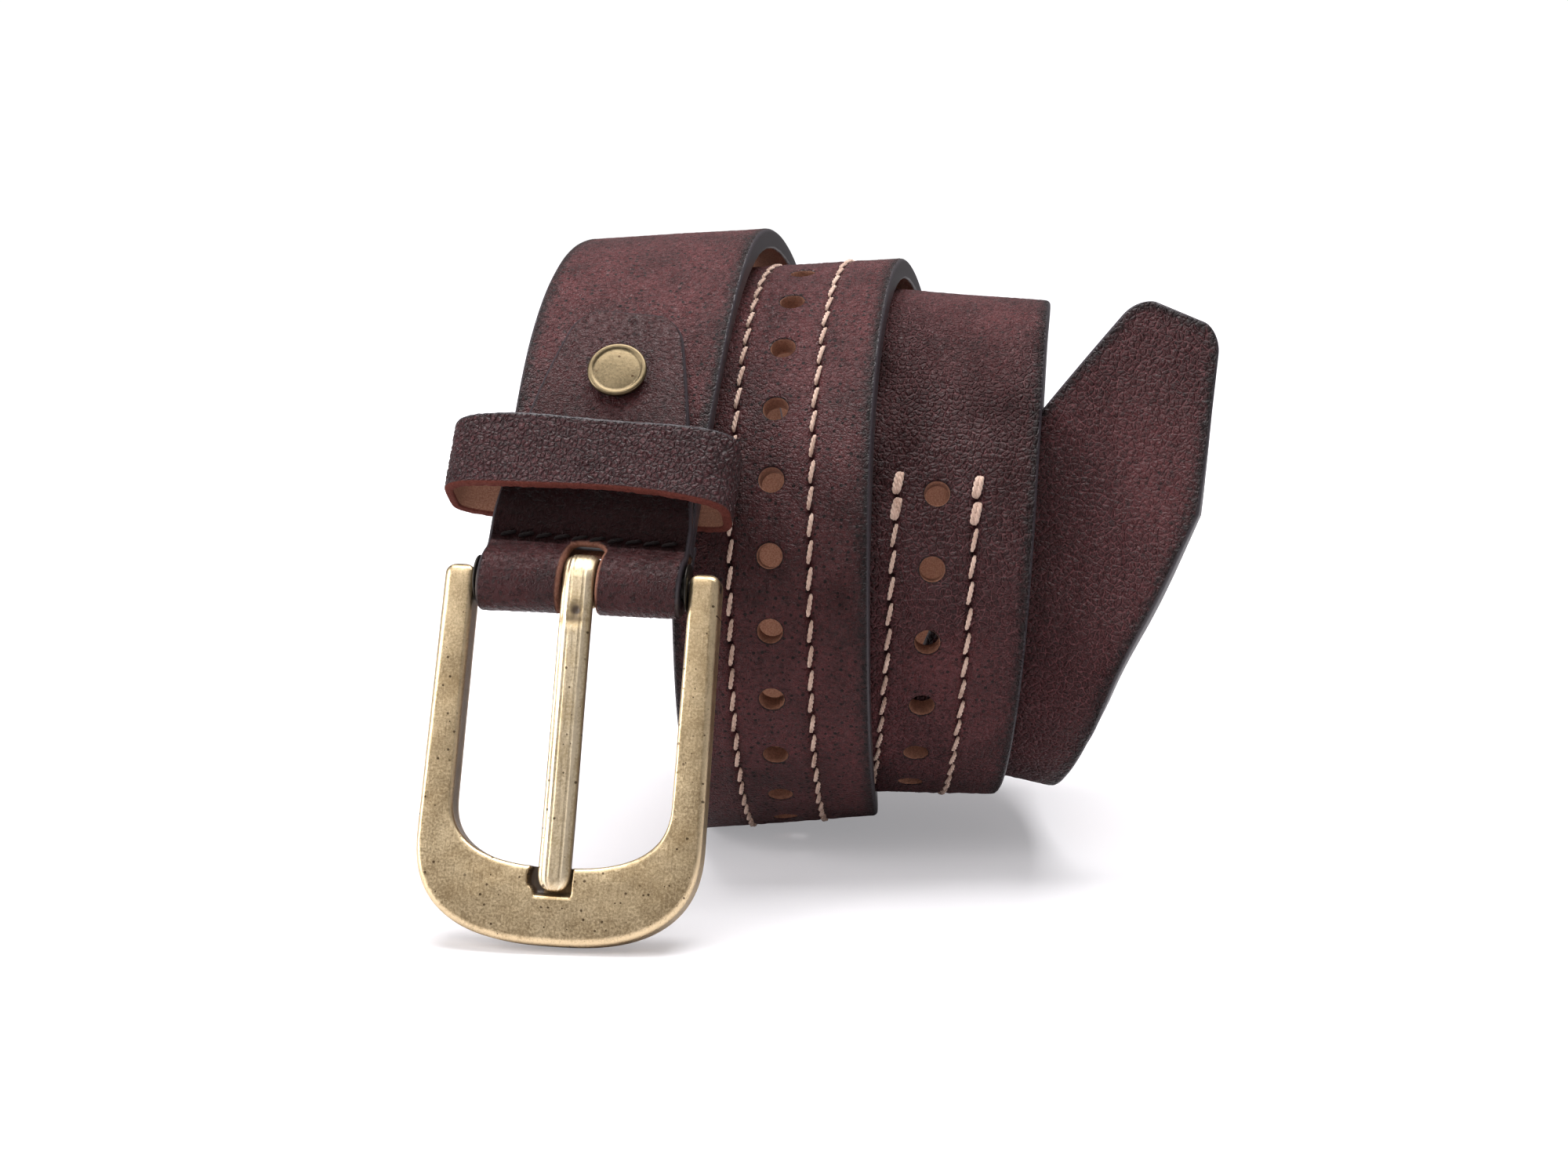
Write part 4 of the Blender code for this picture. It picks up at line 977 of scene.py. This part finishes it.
def prong_line():
    """Middle line (along, out), thickness and width share of the prong, from its curled end to its tip."""
    lap = math.pi + math.radians(70)
    turns = lap - np.linspace(0, 1, 61) * lap
    eye = np.stack([PRONG_EYE * np.sin(turns), PRONG_EYE * np.cos(turns)], -1)
    seat = FRAME_FRONT - NOTCH_DEPTH + PRONG_SEAT + PRONG_THICK / 2
    shares = np.linspace(0, 1, 71)[1:]
    body = np.stack([-shares * (PRONG_LENGTH - 3 * MM), mix(PRONG_EYE, seat, ease(shares))], -1)
    tip_turn = np.radians(np.linspace(0, 90, 11))[1:]
    tip = np.stack([-(PRONG_LENGTH - 3 * MM) - 3 * MM * np.sin(tip_turn), np.full(10, seat)], -1)
    tip[:, 1] -= 0.35 * MM * (1 - np.cos(tip_turn))
    tip_width = 0.45 + 0.55 * np.cos(tip_turn) ** 0.7
    tip_thick = PRONG_THICK * (0.5 + 0.5 * np.cos(tip_turn) ** 0.6)
    line = np.concatenate([eye, body, tip])
    start = ease(np.linspace(0, 1, 6)[:-1] * 0.8 + 0.2)
    width = np.concatenate([0.75 + 0.25 * start, np.ones(126), tip_width])
    thick = np.concatenate([PRONG_THICK * (0.6 + 0.4 * start), np.full(126, PRONG_THICK), tip_thick])
    return line, thick, width


def prong_section():
    """Closed section in shares of half width and half thickness, with draw lines along the front."""
    front = [(-1.0, 0.26), (-0.99, 0.40), (-0.95, 0.50), (-0.86, 0.60), (-0.76, 0.70), (-0.70, 0.68),
             (-0.64, 0.80), (-0.56, 0.92), (-0.48, 0.97), (-0.41, 0.88), (-0.34, 0.96), (-0.2, 1.0),
             (-0.05, 0.97), (0.1, 0.95), (0.24, 0.98), (0.34, 0.99), (0.42, 0.86), (0.5, 0.95),
             (0.58, 0.91), (0.66, 0.80), (0.76, 0.70),
             (0.86, 0.60), (0.95, 0.48), (0.99, 0.38), (1.0, 0.24)]
    back = [(1.0, -0.5), (0.97, -0.8), (0.88, -0.95), (0.7, -1.0), (0.3, -1.0), (-0.3, -1.0), (-0.7, -1.0),
            (-0.88, -0.95), (-0.97, -0.8), (-1.0, -0.5)]
    return np.array(front + back)


def build_prong(material):
    line, thick, width = prong_line()
    slope = np.gradient(line, axis=0)
    slope /= np.linalg.norm(slope, axis=1)[:, None]
    normal = np.stack([slope[:, 1], -slope[:, 0]], -1)
    section = prong_section()
    across = section[:, 0][None] * PRONG_WIDTH / 2 * width[:, None]
    height = section[:, 1][None] * thick[:, None] / 2
    steps = np.concatenate([[0.0], np.cumsum(np.linalg.norm(np.diff(line, axis=0), axis=1))])
    u = np.broadcast_to(steps[:, None], across.shape)
    front = section[:, 1][None] > 0.5
    dimple_at = steps[60] + 6.4 * MM
    from_dimple = np.hypot(u - dimple_at, across - 0.2 * MM)
    dimple = -0.75 * np.exp(-(from_dimple / (1.0 * MM)) ** 2)
    crimp = -0.34 * np.exp(-((u - dimple_at - 2.1 * MM) / (0.55 * MM)) ** 2)
    stain = -0.5 * np.exp(-(from_dimple / (2.6 * MM)) ** 2)
    draw = 0.035 * soft_noise(across / (0.35 * MM), u / (14 * MM), 81)
    draw = draw + 0.04 * soft_noise(across / (2 * MM), u / (3 * MM), 82)
    height = height + np.where(front, dimple + crimp + draw, 0.0) * MM
    along = line[:, 0][:, None] + normal[:, 0][:, None] * height
    out = line[:, 1][:, None] + normal[:, 1][:, None] * height
    points = bar_place(along, across, out).reshape(-1, 3)
    flat = np.stack([across, u, height], -1).reshape(-1, 3)
    edge = np.exp(-((np.abs(section[:, 0]) - 0.6) / 0.12) ** 2) * (section[:, 1] > 0.5)
    wear_and_shade = np.broadcast_to(edge[None], across.shape) + np.where(front, 1.2 * dimple + 2 * crimp + stain, -0.7)
    faces = tube_faces(len(line), len(section))
    make_piece("prong_brass", points, faces, material, "prong", ["prong"], flat,
               {"wear_and_shade": wear_and_shade.ravel()})


# ---------------------------------------------------------------- stitching

def twisted_stitches(starts, ends, sides, thickness, lift, taper=0.45):
    """Three-ply stitches as local points (run, across, out): arcs that dive into the leather at both ends."""
    steps = 17
    ring = 7
    share = np.linspace(-1, 1, steps)
    angle = np.linspace(0, math.tau, ring + 1)[:-1]
    groups = []
    faces = []
    base = 0
    tube = tube_faces(steps, ring)
    for number, (start, end, side) in enumerate(zip(starts, ends, sides)):
        middle = (start + end) / 2
        half = (end - start) / 2
        body = 1 - taper * np.abs(share) ** 4
        height = lift - (lift + 0.55 * MM) * np.abs(share) ** 5
        for ply in range(3):
            turn = math.tau * ply / 3 + share * half / (0.52 * MM) + number
            swing = STITCH_TWIST * thickness * body
            centre_side = side + STITCH_SLANT * share + swing * np.cos(turn)
            centre_out = height + swing * np.sin(turn) * 0.8
            radius = STITCH_RADIUS * thickness * body
            run = np.broadcast_to((middle + half * share)[:, None], (steps, ring))
            across = centre_side[:, None] + radius[:, None] * np.cos(angle)[None]
            out = centre_out[:, None] + radius[:, None] * np.sin(angle)[None]
            groups.append(np.stack([run, across, out], -1).reshape(-1, 3))
            faces.append([group + base for group in tube])
            base += steps * ring
    quads = np.concatenate([item[0] for item in faces])
    caps = np.concatenate([np.concatenate(item[1:]) for item in faces])
    return np.concatenate(groups), [quads, caps]


def build_rows(material):
    count = round((stitch_end() - stitch_start()) / STITCH_PITCH)
    ends = np.linspace(stitch_start(), stitch_end(), count + 1)
    jitter = np.random.default_rng(91).uniform(-0.12, 0.12, (4, count)) * MM
    rows = (("stitch_row_left", "needle_thread_left", -STITCH_ROW, True),
            ("stitch_row_right", "needle_thread_right", STITCH_ROW, True),
            ("under_row_left", "bobbin_thread_left", -STITCH_ROW, False),
            ("under_row_right", "bobbin_thread_right", STITCH_ROW, False))
    for number, (name, thread_node, side, front) in enumerate(rows):
        inset = 0.32 * MM
        starts = ends[:-1] + inset
        stops = ends[1:] - inset
        sides = side + jitter[number]
        lift = 0.1 * MM if front else 0.05 * MM
        spots, faces = twisted_stitches(starts, stops, sides, 1.0, lift)
        if front:
            tack_start = np.repeat(ends[-3:-1], 2) + inset
            tack_stop = np.repeat(ends[-2:], 2) - inset
            tack_side = side + np.array([-0.42, 0.42, -0.38, 0.46]) * MM
            extra, more = twisted_stitches(tack_start, tack_stop, tack_side, 1.2, 0.3 * MM, 0.8)
            more = [group + len(spots) for group in more]
            spots = np.concatenate([spots, extra])
            faces = [np.concatenate([first, second]) for first, second in zip(faces, more)]
            points = place(spots[:, 0], spots[:, 1], spots[:, 2])
        else:
            points = place(spots[:, 0], spots[:, 1], -STRAP_THICK - spots[:, 2])
            faces = [group[:, ::-1] for group in faces]
        make_piece(name, points, faces, material, "strap_body", [thread_node], spots)


def build_seams(material):
    count = round(2 * SEAM_HALF_LENGTH / SEAM_PITCH)
    ends = np.linspace(-SEAM_HALF_LENGTH, SEAM_HALF_LENGTH, count + 1)
    front = 2 * GAP + CHAPE_LEG
    back = -STRAP_THICK - 2 * GAP - CHAPE_LEG
    inset = 0.3 * MM
    places = np.full(count, SEAM_AT)
    seams = (("seam_front", "chape_seam_front", front, 1), ("seam_back", "chape_seam_back", back, -1))
    for name, thread_node, level, way in seams:
        spots, faces = twisted_stitches(ends[:-1] + inset, ends[1:] - inset, places, 0.8, -0.05 * MM)
        points = place(spots[:, 1], spots[:, 0], level + way * spots[:, 2])
        faces = [group[:, ::-way] for group in faces]
        make_piece(name, points, faces, material, "strap_body", [thread_node], spots)


# ---------------------------------------------------------------- finishes

def node(tree, kind, inputs=None, **settings):
    made = tree.nodes.new(kind)
    for key, value in settings.items():
        setattr(made, key, value)
    for key, value in (inputs or {}).items():
        if isinstance(value, bpy.types.NodeSocket):
            tree.links.new(value, made.inputs[key])
        else:
            made.inputs[key].default_value = value
    return made


def maths(tree, operation, first, second=0.0):
    return node(tree, "ShaderNodeMath", {0: first, 1: second}, operation=operation).outputs[0]


def spread(tree, value, low, high, start=0.0, end=1.0):
    inputs = {"Value": value, "From Min": low, "From Max": high, "To Min": start, "To Max": end}
    return node(tree, "ShaderNodeMapRange", inputs, interpolation_type="SMOOTHSTEP").outputs[0]


def times(tree, first, second):
    return maths(tree, "MULTIPLY", first, second)


def plus(tree, first, second):
    return maths(tree, "ADD", first, second)


def minus(tree, first, second):
    return maths(tree, "SUBTRACT", first, second)


def tint(tree, share, first, second):
    return node(tree, "ShaderNodeMix", {0: share, 6: first, 7: second}, data_type="RGBA").outputs[2]


def shaded(color, red, green, blue):
    """A colour with its three channels scaled."""
    return (color[0] * red, color[1] * green, color[2] * blue, 1)


def cloud(tree, spot, scale, detail=3.0, rough=0.55):
    inputs = {"Vector": spot, "Scale": scale, "Detail": detail, "Roughness": rough}
    return node(tree, "ShaderNodeTexNoise", inputs).outputs["Fac"]


def attribute(tree, name, output="Fac"):
    return node(tree, "ShaderNodeAttribute", attribute_name=name).outputs[output]


def voronoi(tree, spot, scale, feature):
    inputs = {"Vector": spot, "Scale": scale}
    return node(tree, "ShaderNodeTexVoronoi", inputs, feature=feature, voronoi_dimensions="2D")


def channel(tree, color, index):
    return node(tree, "ShaderNodeSeparateColor", {0: color}).outputs[index]


def blend(tree, share, first, second):
    return node(tree, "ShaderNodeMix", {0: share, 2: first, 3: second}, data_type="FLOAT").outputs[0]


def flat_place(tree, scale=(1, 1, 1)):
    """The unrolled place in millimetres, stretched along its axes."""
    inputs = {0: attribute(tree, "flat", "Vector"), 1: [1000 * value for value in scale]}
    return node(tree, "ShaderNodeVectorMath", inputs, operation="MULTIPLY").outputs[0]


def new_material(name):
    material = bpy.data.materials.new(name)
    material.use_nodes = True
    tree = material.node_tree
    return material, tree, tree.nodes["Principled BSDF"]


def set_bump(tree, shader, height, depth):
    bump = node(tree, "ShaderNodeBump", {"Height": height, "Distance": depth, "Strength": 1.0})
    tree.links.new(bump.outputs[0], shader.inputs["Normal"])


def leather(name, dark, light, raw, pebble, crease, net, gloss, shine, pores, burn):
    """Waxed full-grain leather: pebbles, creases and pores on the grain, painted edge, raw and tan flesh.

    net is above zero where the lines between pebbles are worn pale, below zero where they are dark;
    burn is how far the darkened border reaches in, in millimetres.
    """
    material, tree, shader = new_material(name)
    spot = flat_place(tree)
    rim = attribute(tree, "rim")
    flesh = attribute(tree, "flesh")
    pebbled = attribute(tree, "pebbled")
    stain_and_shade = attribute(tree, "stain_and_shade")
    swirl = node(tree, "ShaderNodeTexNoise", {"Vector": spot, "Scale": 0.5, "Detail": 2.0}).outputs["Color"]
    shift = {0: swirl, 1: (1.5, 1.5, 1.5), 2: spot}
    bent = node(tree, "ShaderNodeVectorMath", shift, operation="MULTIPLY_ADD").outputs[0]
    coarse = voronoi(tree, bent, pebble, "DISTANCE_TO_EDGE").outputs["Distance"]
    fine = voronoi(tree, bent, 2.3 * pebble, "DISTANCE_TO_EDGE").outputs["Distance"]
    pits = voronoi(tree, spot, 0.62, "F1")
    chosen = spread(tree, channel(tree, pits.outputs["Color"], 0), 0.38, 0.42)
    size = spread(tree, channel(tree, pits.outputs["Color"], 1), 0.0, 1.0, 0.08, 0.22)
    pit = maths(tree, "LESS_THAN", pits.outputs["Distance"], size)
    pit = times(tree, times(tree, pit, chosen), pores)
    pit = times(tree, pit, spread(tree, pebbled, 0.25, 0.8, 1.0, 0.25))
    dust = cloud(tree, spot, 3.5, 5.0, 0.7)
    folds = cloud(tree, flat_place(tree, (1.5, 0.8, 1)), 0.9, 4.0, 0.6)
    wrinkle = spread(tree, folds, 0.53, 0.64)
    pebbles = spread(tree, pebbled, 0.0, 1.0, 0.3 * crease, crease)
    height = times(tree, spread(tree, coarse, 0.0, 0.3), pebbles)
    height = plus(tree, height, times(tree, spread(tree, fine, 0.0, 0.3), 0.25 * crease))
    height = plus(tree, height, times(tree, dust, 0.2))
    height = minus(tree, height, times(tree, pit, 0.9))
    height = minus(tree, height, times(tree, wrinkle, 0.3))
    fibres = cloud(tree, spot, 2.2, 8.0, 0.75)
    uncut = spread(tree, flesh, 0.0, 0.45)
    both = blend(tree, uncut, height, times(tree, fibres, 1.2))
    painted = spread(tree, rim, 0.25 * MM, 0.75 * MM, 1.0, 0.0)
    set_bump(tree, shader, blend(tree, painted, both, 0.5), LEATHER_BUMP)
    color = tint(tree, spread(tree, cloud(tree, spot, 0.08, 5.0, 0.6), 0.28, 0.66), dark, light)
    redder = spread(tree, cloud(tree, spot, 0.9, 4.0, 0.7), 0.42, 0.68, 0.0, 0.4)
    color = tint(tree, redder, color, shaded(light, 1.4, 0.9, 0.85))
    color = tint(tree, spread(tree, pebbled, 0.3, 1.0, 0.0, DARK_PEBBLES * max(net, 0.0)), color, dark)
    line = spread(tree, coarse, 0.0, 0.13, 1.0, 0.0)
    thin = spread(tree, fine, 0.0, 0.12, 0.5, 0.0)
    line = times(tree, maths(tree, "MAXIMUM", line, thin), spread(tree, dust, 0.3, 0.6, 0.25, 1.0))
    line = times(tree, line, spread(tree, pebbled, 0.1, 0.9, 0.08, 1.0))
    worn = tint(tree, times(tree, line, max(net, 0.0)), color, shaded(light, 2.0, 2.6, 2.6))
    color = tint(tree, times(tree, line, max(-net, 0.0)), worn, INK)
    color = tint(tree, times(tree, wrinkle, 0.5), color, shaded(dark, 0.3, 0.3, 0.3))
    color = tint(tree, times(tree, pit, 0.9), color, INK)
    wander = times(tree, minus(tree, cloud(tree, spot, 0.7, 3.0), 0.5), 1.3 * burn * MM)
    burnt = spread(tree, plus(tree, rim, wander), 0.2 * MM, burn * MM, 0.92, 0.0)
    color = tint(tree, burnt, color, BURNT)
    # Darkens towards ink by this mark: real burnish, and painted shade in the needle pits and on the chape
    # leg under the keeper
    color = tint(tree, times(tree, stain_and_shade, 0.9), color, INK)
    tan = tint(tree, spread(tree, fibres, 0.35, 0.7), FLESH_DARK, FLESH_LIGHT)
    torn = tint(tree, spread(tree, fibres, 0.35, 0.7), shaded(raw, 0.6, 0.55, 0.5), raw)
    color = tint(tree, uncut, color, tint(tree, spread(tree, flesh, 0.55, 0.95), torn, tan))
    color = tint(tree, painted, color, EDGE_PAINT)
    tree.links.new(color, shader.inputs["Base Color"])
    satin = spread(tree, cloud(tree, spot, 0.25, 4.0), 0.3, 0.7, gloss - 0.06, gloss + 0.08)
    satin = plus(tree, satin, times(tree, pit, 0.2))
    tree.links.new(blend(tree, painted, blend(tree, uncut, satin, 0.85), 0.4), shader.inputs["Roughness"])
    polish = times(tree, spread(tree, stain_and_shade, 0.0, 1.0, 1.0, 0.15), shine)
    sheen = blend(tree, painted, blend(tree, uncut, polish, 0.1), 0.4)
    tree.links.new(sheen, shader.inputs["Specular IOR Level"])
    return material


def brass(name, dark, light):
    """Antiqued brass: pale worn edges, brown patina in hollows, painted shade in the buckle notch, specks and
    a satin sheen.
    """
    material, tree, shader = new_material(name)
    spot = flat_place(tree)
    wear_and_shade = attribute(tree, "wear_and_shade")
    drawn = flat_place(tree, (2.6, 0.12, 2.6))
    blotch = cloud(tree, spot, 0.16, 6.0, 0.62)
    mottle = cloud(tree, spot, 2.1, 6.0, 0.75)
    lines = cloud(tree, drawn, 1.2, 4.0, 0.6)
    worn = plus(tree, times(tree, blotch, 0.4), times(tree, mottle, 0.6))
    worn = plus(tree, worn, times(tree, wear_and_shade, 0.16))
    base = tint(tree, spread(tree, worn, 0.36, 0.68), dark, light)
    base = tint(tree, spread(tree, wear_and_shade, -0.2, -1.1, 0.0, 0.95), base, PATINA)
    specks = voronoi(tree, spot, 0.55, "F1")
    chosen = spread(tree, channel(tree, specks.outputs["Color"], 1), 0.78, 0.82)
    size = spread(tree, channel(tree, specks.outputs["Color"], 2), 0.0, 1.0, 0.05, 0.15)
    speck = times(tree, maths(tree, "LESS_THAN", specks.outputs["Distance"], size), chosen)
    base = tint(tree, times(tree, speck, 0.8), base, SPECK)
    base = tint(tree, spread(tree, lines, 0.55, 0.72, 0.0, 0.4), base, DRAW_LINE)
    tree.links.new(base, shader.inputs["Base Color"])
    tree.links.new(spread(tree, wear_and_shade, -1.2, -0.3, 0.1, 1.0), shader.inputs["Metallic"])
    tree.links.new(spread(tree, mottle, 0.3, 0.7, 0.30, 0.44), shader.inputs["Roughness"])
    height = plus(tree, times(tree, mottle, 0.5), times(tree, lines, 0.3))
    height = minus(tree, height, times(tree, speck, 0.9))
    set_bump(tree, shader, height, BRASS_BUMP)
    return material


def steel(name):
    material, tree, shader = new_material(name)
    spot = flat_place(tree)
    mottle = cloud(tree, spot, 1.0, 5.0, 0.7)
    tree.links.new(tint(tree, mottle, STEEL_DARK, STEEL_LIGHT), shader.inputs["Base Color"])
    shader.inputs["Metallic"].default_value = 0.85
    tree.links.new(spread(tree, mottle, 0.3, 0.7, 0.32, 0.5), shader.inputs["Roughness"])
    set_bump(tree, shader, mottle, STEEL_BUMP)
    return material


def thread(name, dark, light, sheen):
    material, tree, shader = new_material(name)
    spot = flat_place(tree)
    slow = cloud(tree, spot, 0.3, 4.0, 0.7)
    hairs = cloud(tree, flat_place(tree, (1.5, 6, 6)), 1.6, 5.0, 0.75)
    share = plus(tree, times(tree, slow, 0.5), times(tree, hairs, 0.5))
    tree.links.new(tint(tree, spread(tree, share, 0.36, 0.6), dark, light), shader.inputs["Base Color"])
    shader.inputs["Roughness"].default_value = 0.8
    shader.inputs["Specular IOR Level"].default_value = 0.2
    shader.inputs["Sheen Weight"].default_value = sheen
    set_bump(tree, shader, hairs, THREAD_BUMP)
    return material


# ---------------------------------------------------------------- stage

def build_stage():
    """White paper floor that fades into the white surroundings."""
    mesh = bpy.data.meshes.new("floor")
    corners = [(-FLOOR_REACH, -FLOOR_REACH, 0), (FLOOR_REACH, -FLOOR_REACH, 0),
               (FLOOR_REACH, FLOOR_REACH, 0), (-FLOOR_REACH, FLOOR_REACH, 0)]
    mesh.from_pydata(corners, [], [(0, 1, 2, 3)])
    material, tree, shader = new_material("floor_paper")
    shader.inputs["Base Color"].default_value = PAPER
    shader.inputs["Roughness"].default_value = 0.7
    shader.inputs["Specular IOR Level"].default_value = 0.1
    seen = node(tree, "ShaderNodeLightPath").outputs["Is Camera Ray"]
    spot = node(tree, "ShaderNodeNewGeometry").outputs["Position"]
    away = node(tree, "ShaderNodeVectorMath", {0: spot}, operation="LENGTH").outputs["Value"]
    far = spread(tree, away, FLOOR_FADE[0], FLOOR_FADE[1])
    shader.inputs["Emission Color"].default_value = PAPER_GLOW
    glow = blend(tree, far, FLOOR_GLOW, FLOOR_GLOW_FAR)
    tree.links.new(times(tree, glow, seen), shader.inputs["Emission Strength"])
    mesh.materials.append(material)
    floor = bpy.data.objects.new("floor", mesh)
    bpy.context.scene.collection.objects.link(floor)


def build_world():
    """White surroundings: even white when seen directly, and brighter in front as a light than behind."""
    world = bpy.data.worlds.new("studio")
    bpy.context.scene.world = world
    world.use_nodes = True
    tree = world.node_tree
    tree.nodes.clear()
    way = node(tree, "ShaderNodeTexCoord").outputs["Generated"]
    back = node(tree, "ShaderNodeSeparateXYZ", {0: way}).outputs["Y"]
    strength = spread(tree, back, -0.7, 0.7, WORLD_FRONT, WORLD_BACK)
    lit = node(tree, "ShaderNodeBackground", {"Color": (1, 0.985, 0.99, 1), "Strength": strength}).outputs[0]
    seen = node(tree, "ShaderNodeBackground", {"Color": (1, 1, 1, 1), "Strength": WORLD_SEEN}).outputs[0]
    camera_ray = node(tree, "ShaderNodeLightPath").outputs["Is Camera Ray"]
    shown = node(tree, "ShaderNodeMixShader", {0: camera_ray, 1: lit, 2: seen}).outputs[0]
    node(tree, "ShaderNodeOutputWorld", {"Surface": shown})


def build_lights():
    target = Vector(LIGHT_TARGET)
    for name, spot, size, power in LIGHTS:
        light = bpy.data.lights.new(name, "AREA")
        light.shape = "RECTANGLE"
        light.size, light.size_y = size
        light.energy = power
        lamp = bpy.data.objects.new(name, light)
        lamp.location = spot
        lamp.rotation_euler = (target - Vector(spot)).to_track_quat("-Z", "Y").to_euler()
        bpy.context.scene.collection.objects.link(lamp)


def build_camera():
    data = bpy.data.cameras.new("camera")
    data.lens = CAMERA_LENS
    data.sensor_width = CAMERA_SENSOR
    data.clip_start = CAMERA_NEAR
    camera = bpy.data.objects.new("camera", data)
    camera.location = CAMERA_SPOT
    camera.rotation_euler = [math.radians(angle) for angle in CAMERA_ANGLES]
    bpy.context.scene.collection.objects.link(camera)
    bpy.context.scene.camera = camera


grain = leather("grain_leather", **GRAIN_LOOK)
waxed = leather("waxed_leather", **WAXED_LOOK)
pebbled = leather("pebbled_leather", **PEBBLED_LOOK)
gold = brass("antique_brass_finish", (0.40, 0.285, 0.155, 1), (0.80, 0.63, 0.40, 1))
# Painted shade: the rivet's brass is far darker than the buckle's, standing in for the dim light its cap
# reflects
shaded_rivet_gold = brass("rivet_brass_painted_shade", (0.085, 0.066, 0.040, 1), (0.19, 0.145, 0.085, 1))
pale_gold = brass("prong_brass_finish", (0.56, 0.42, 0.24, 1), (0.92, 0.77, 0.55, 1))
black = steel("black_steel_finish")
beige = thread("beige_thread_finish", (0.38, 0.225, 0.165, 1), (0.78, 0.56, 0.455, 1), 0.3)
# Dark seam thread, darkened further to near black as painted shade under the keeper
dark_thread_and_shade = thread("dark_thread_and_painted_shade", (0.003, 0.0015, 0.0015, 1), (0.008, 0.004, 0.004, 1), 0.0)
build_strap(grain)
build_chape(waxed)
build_keeper(pebbled)
build_staple(black)
build_rivets(shaded_rivet_gold)
build_frame(gold)
build_bar(black)
build_prong(pale_gold)
build_rows(beige)
build_seams(dark_thread_and_shade)
build_stage()
build_world()
build_lights()
build_camera()
bpy.context.scene.view_settings.view_transform = "Standard"
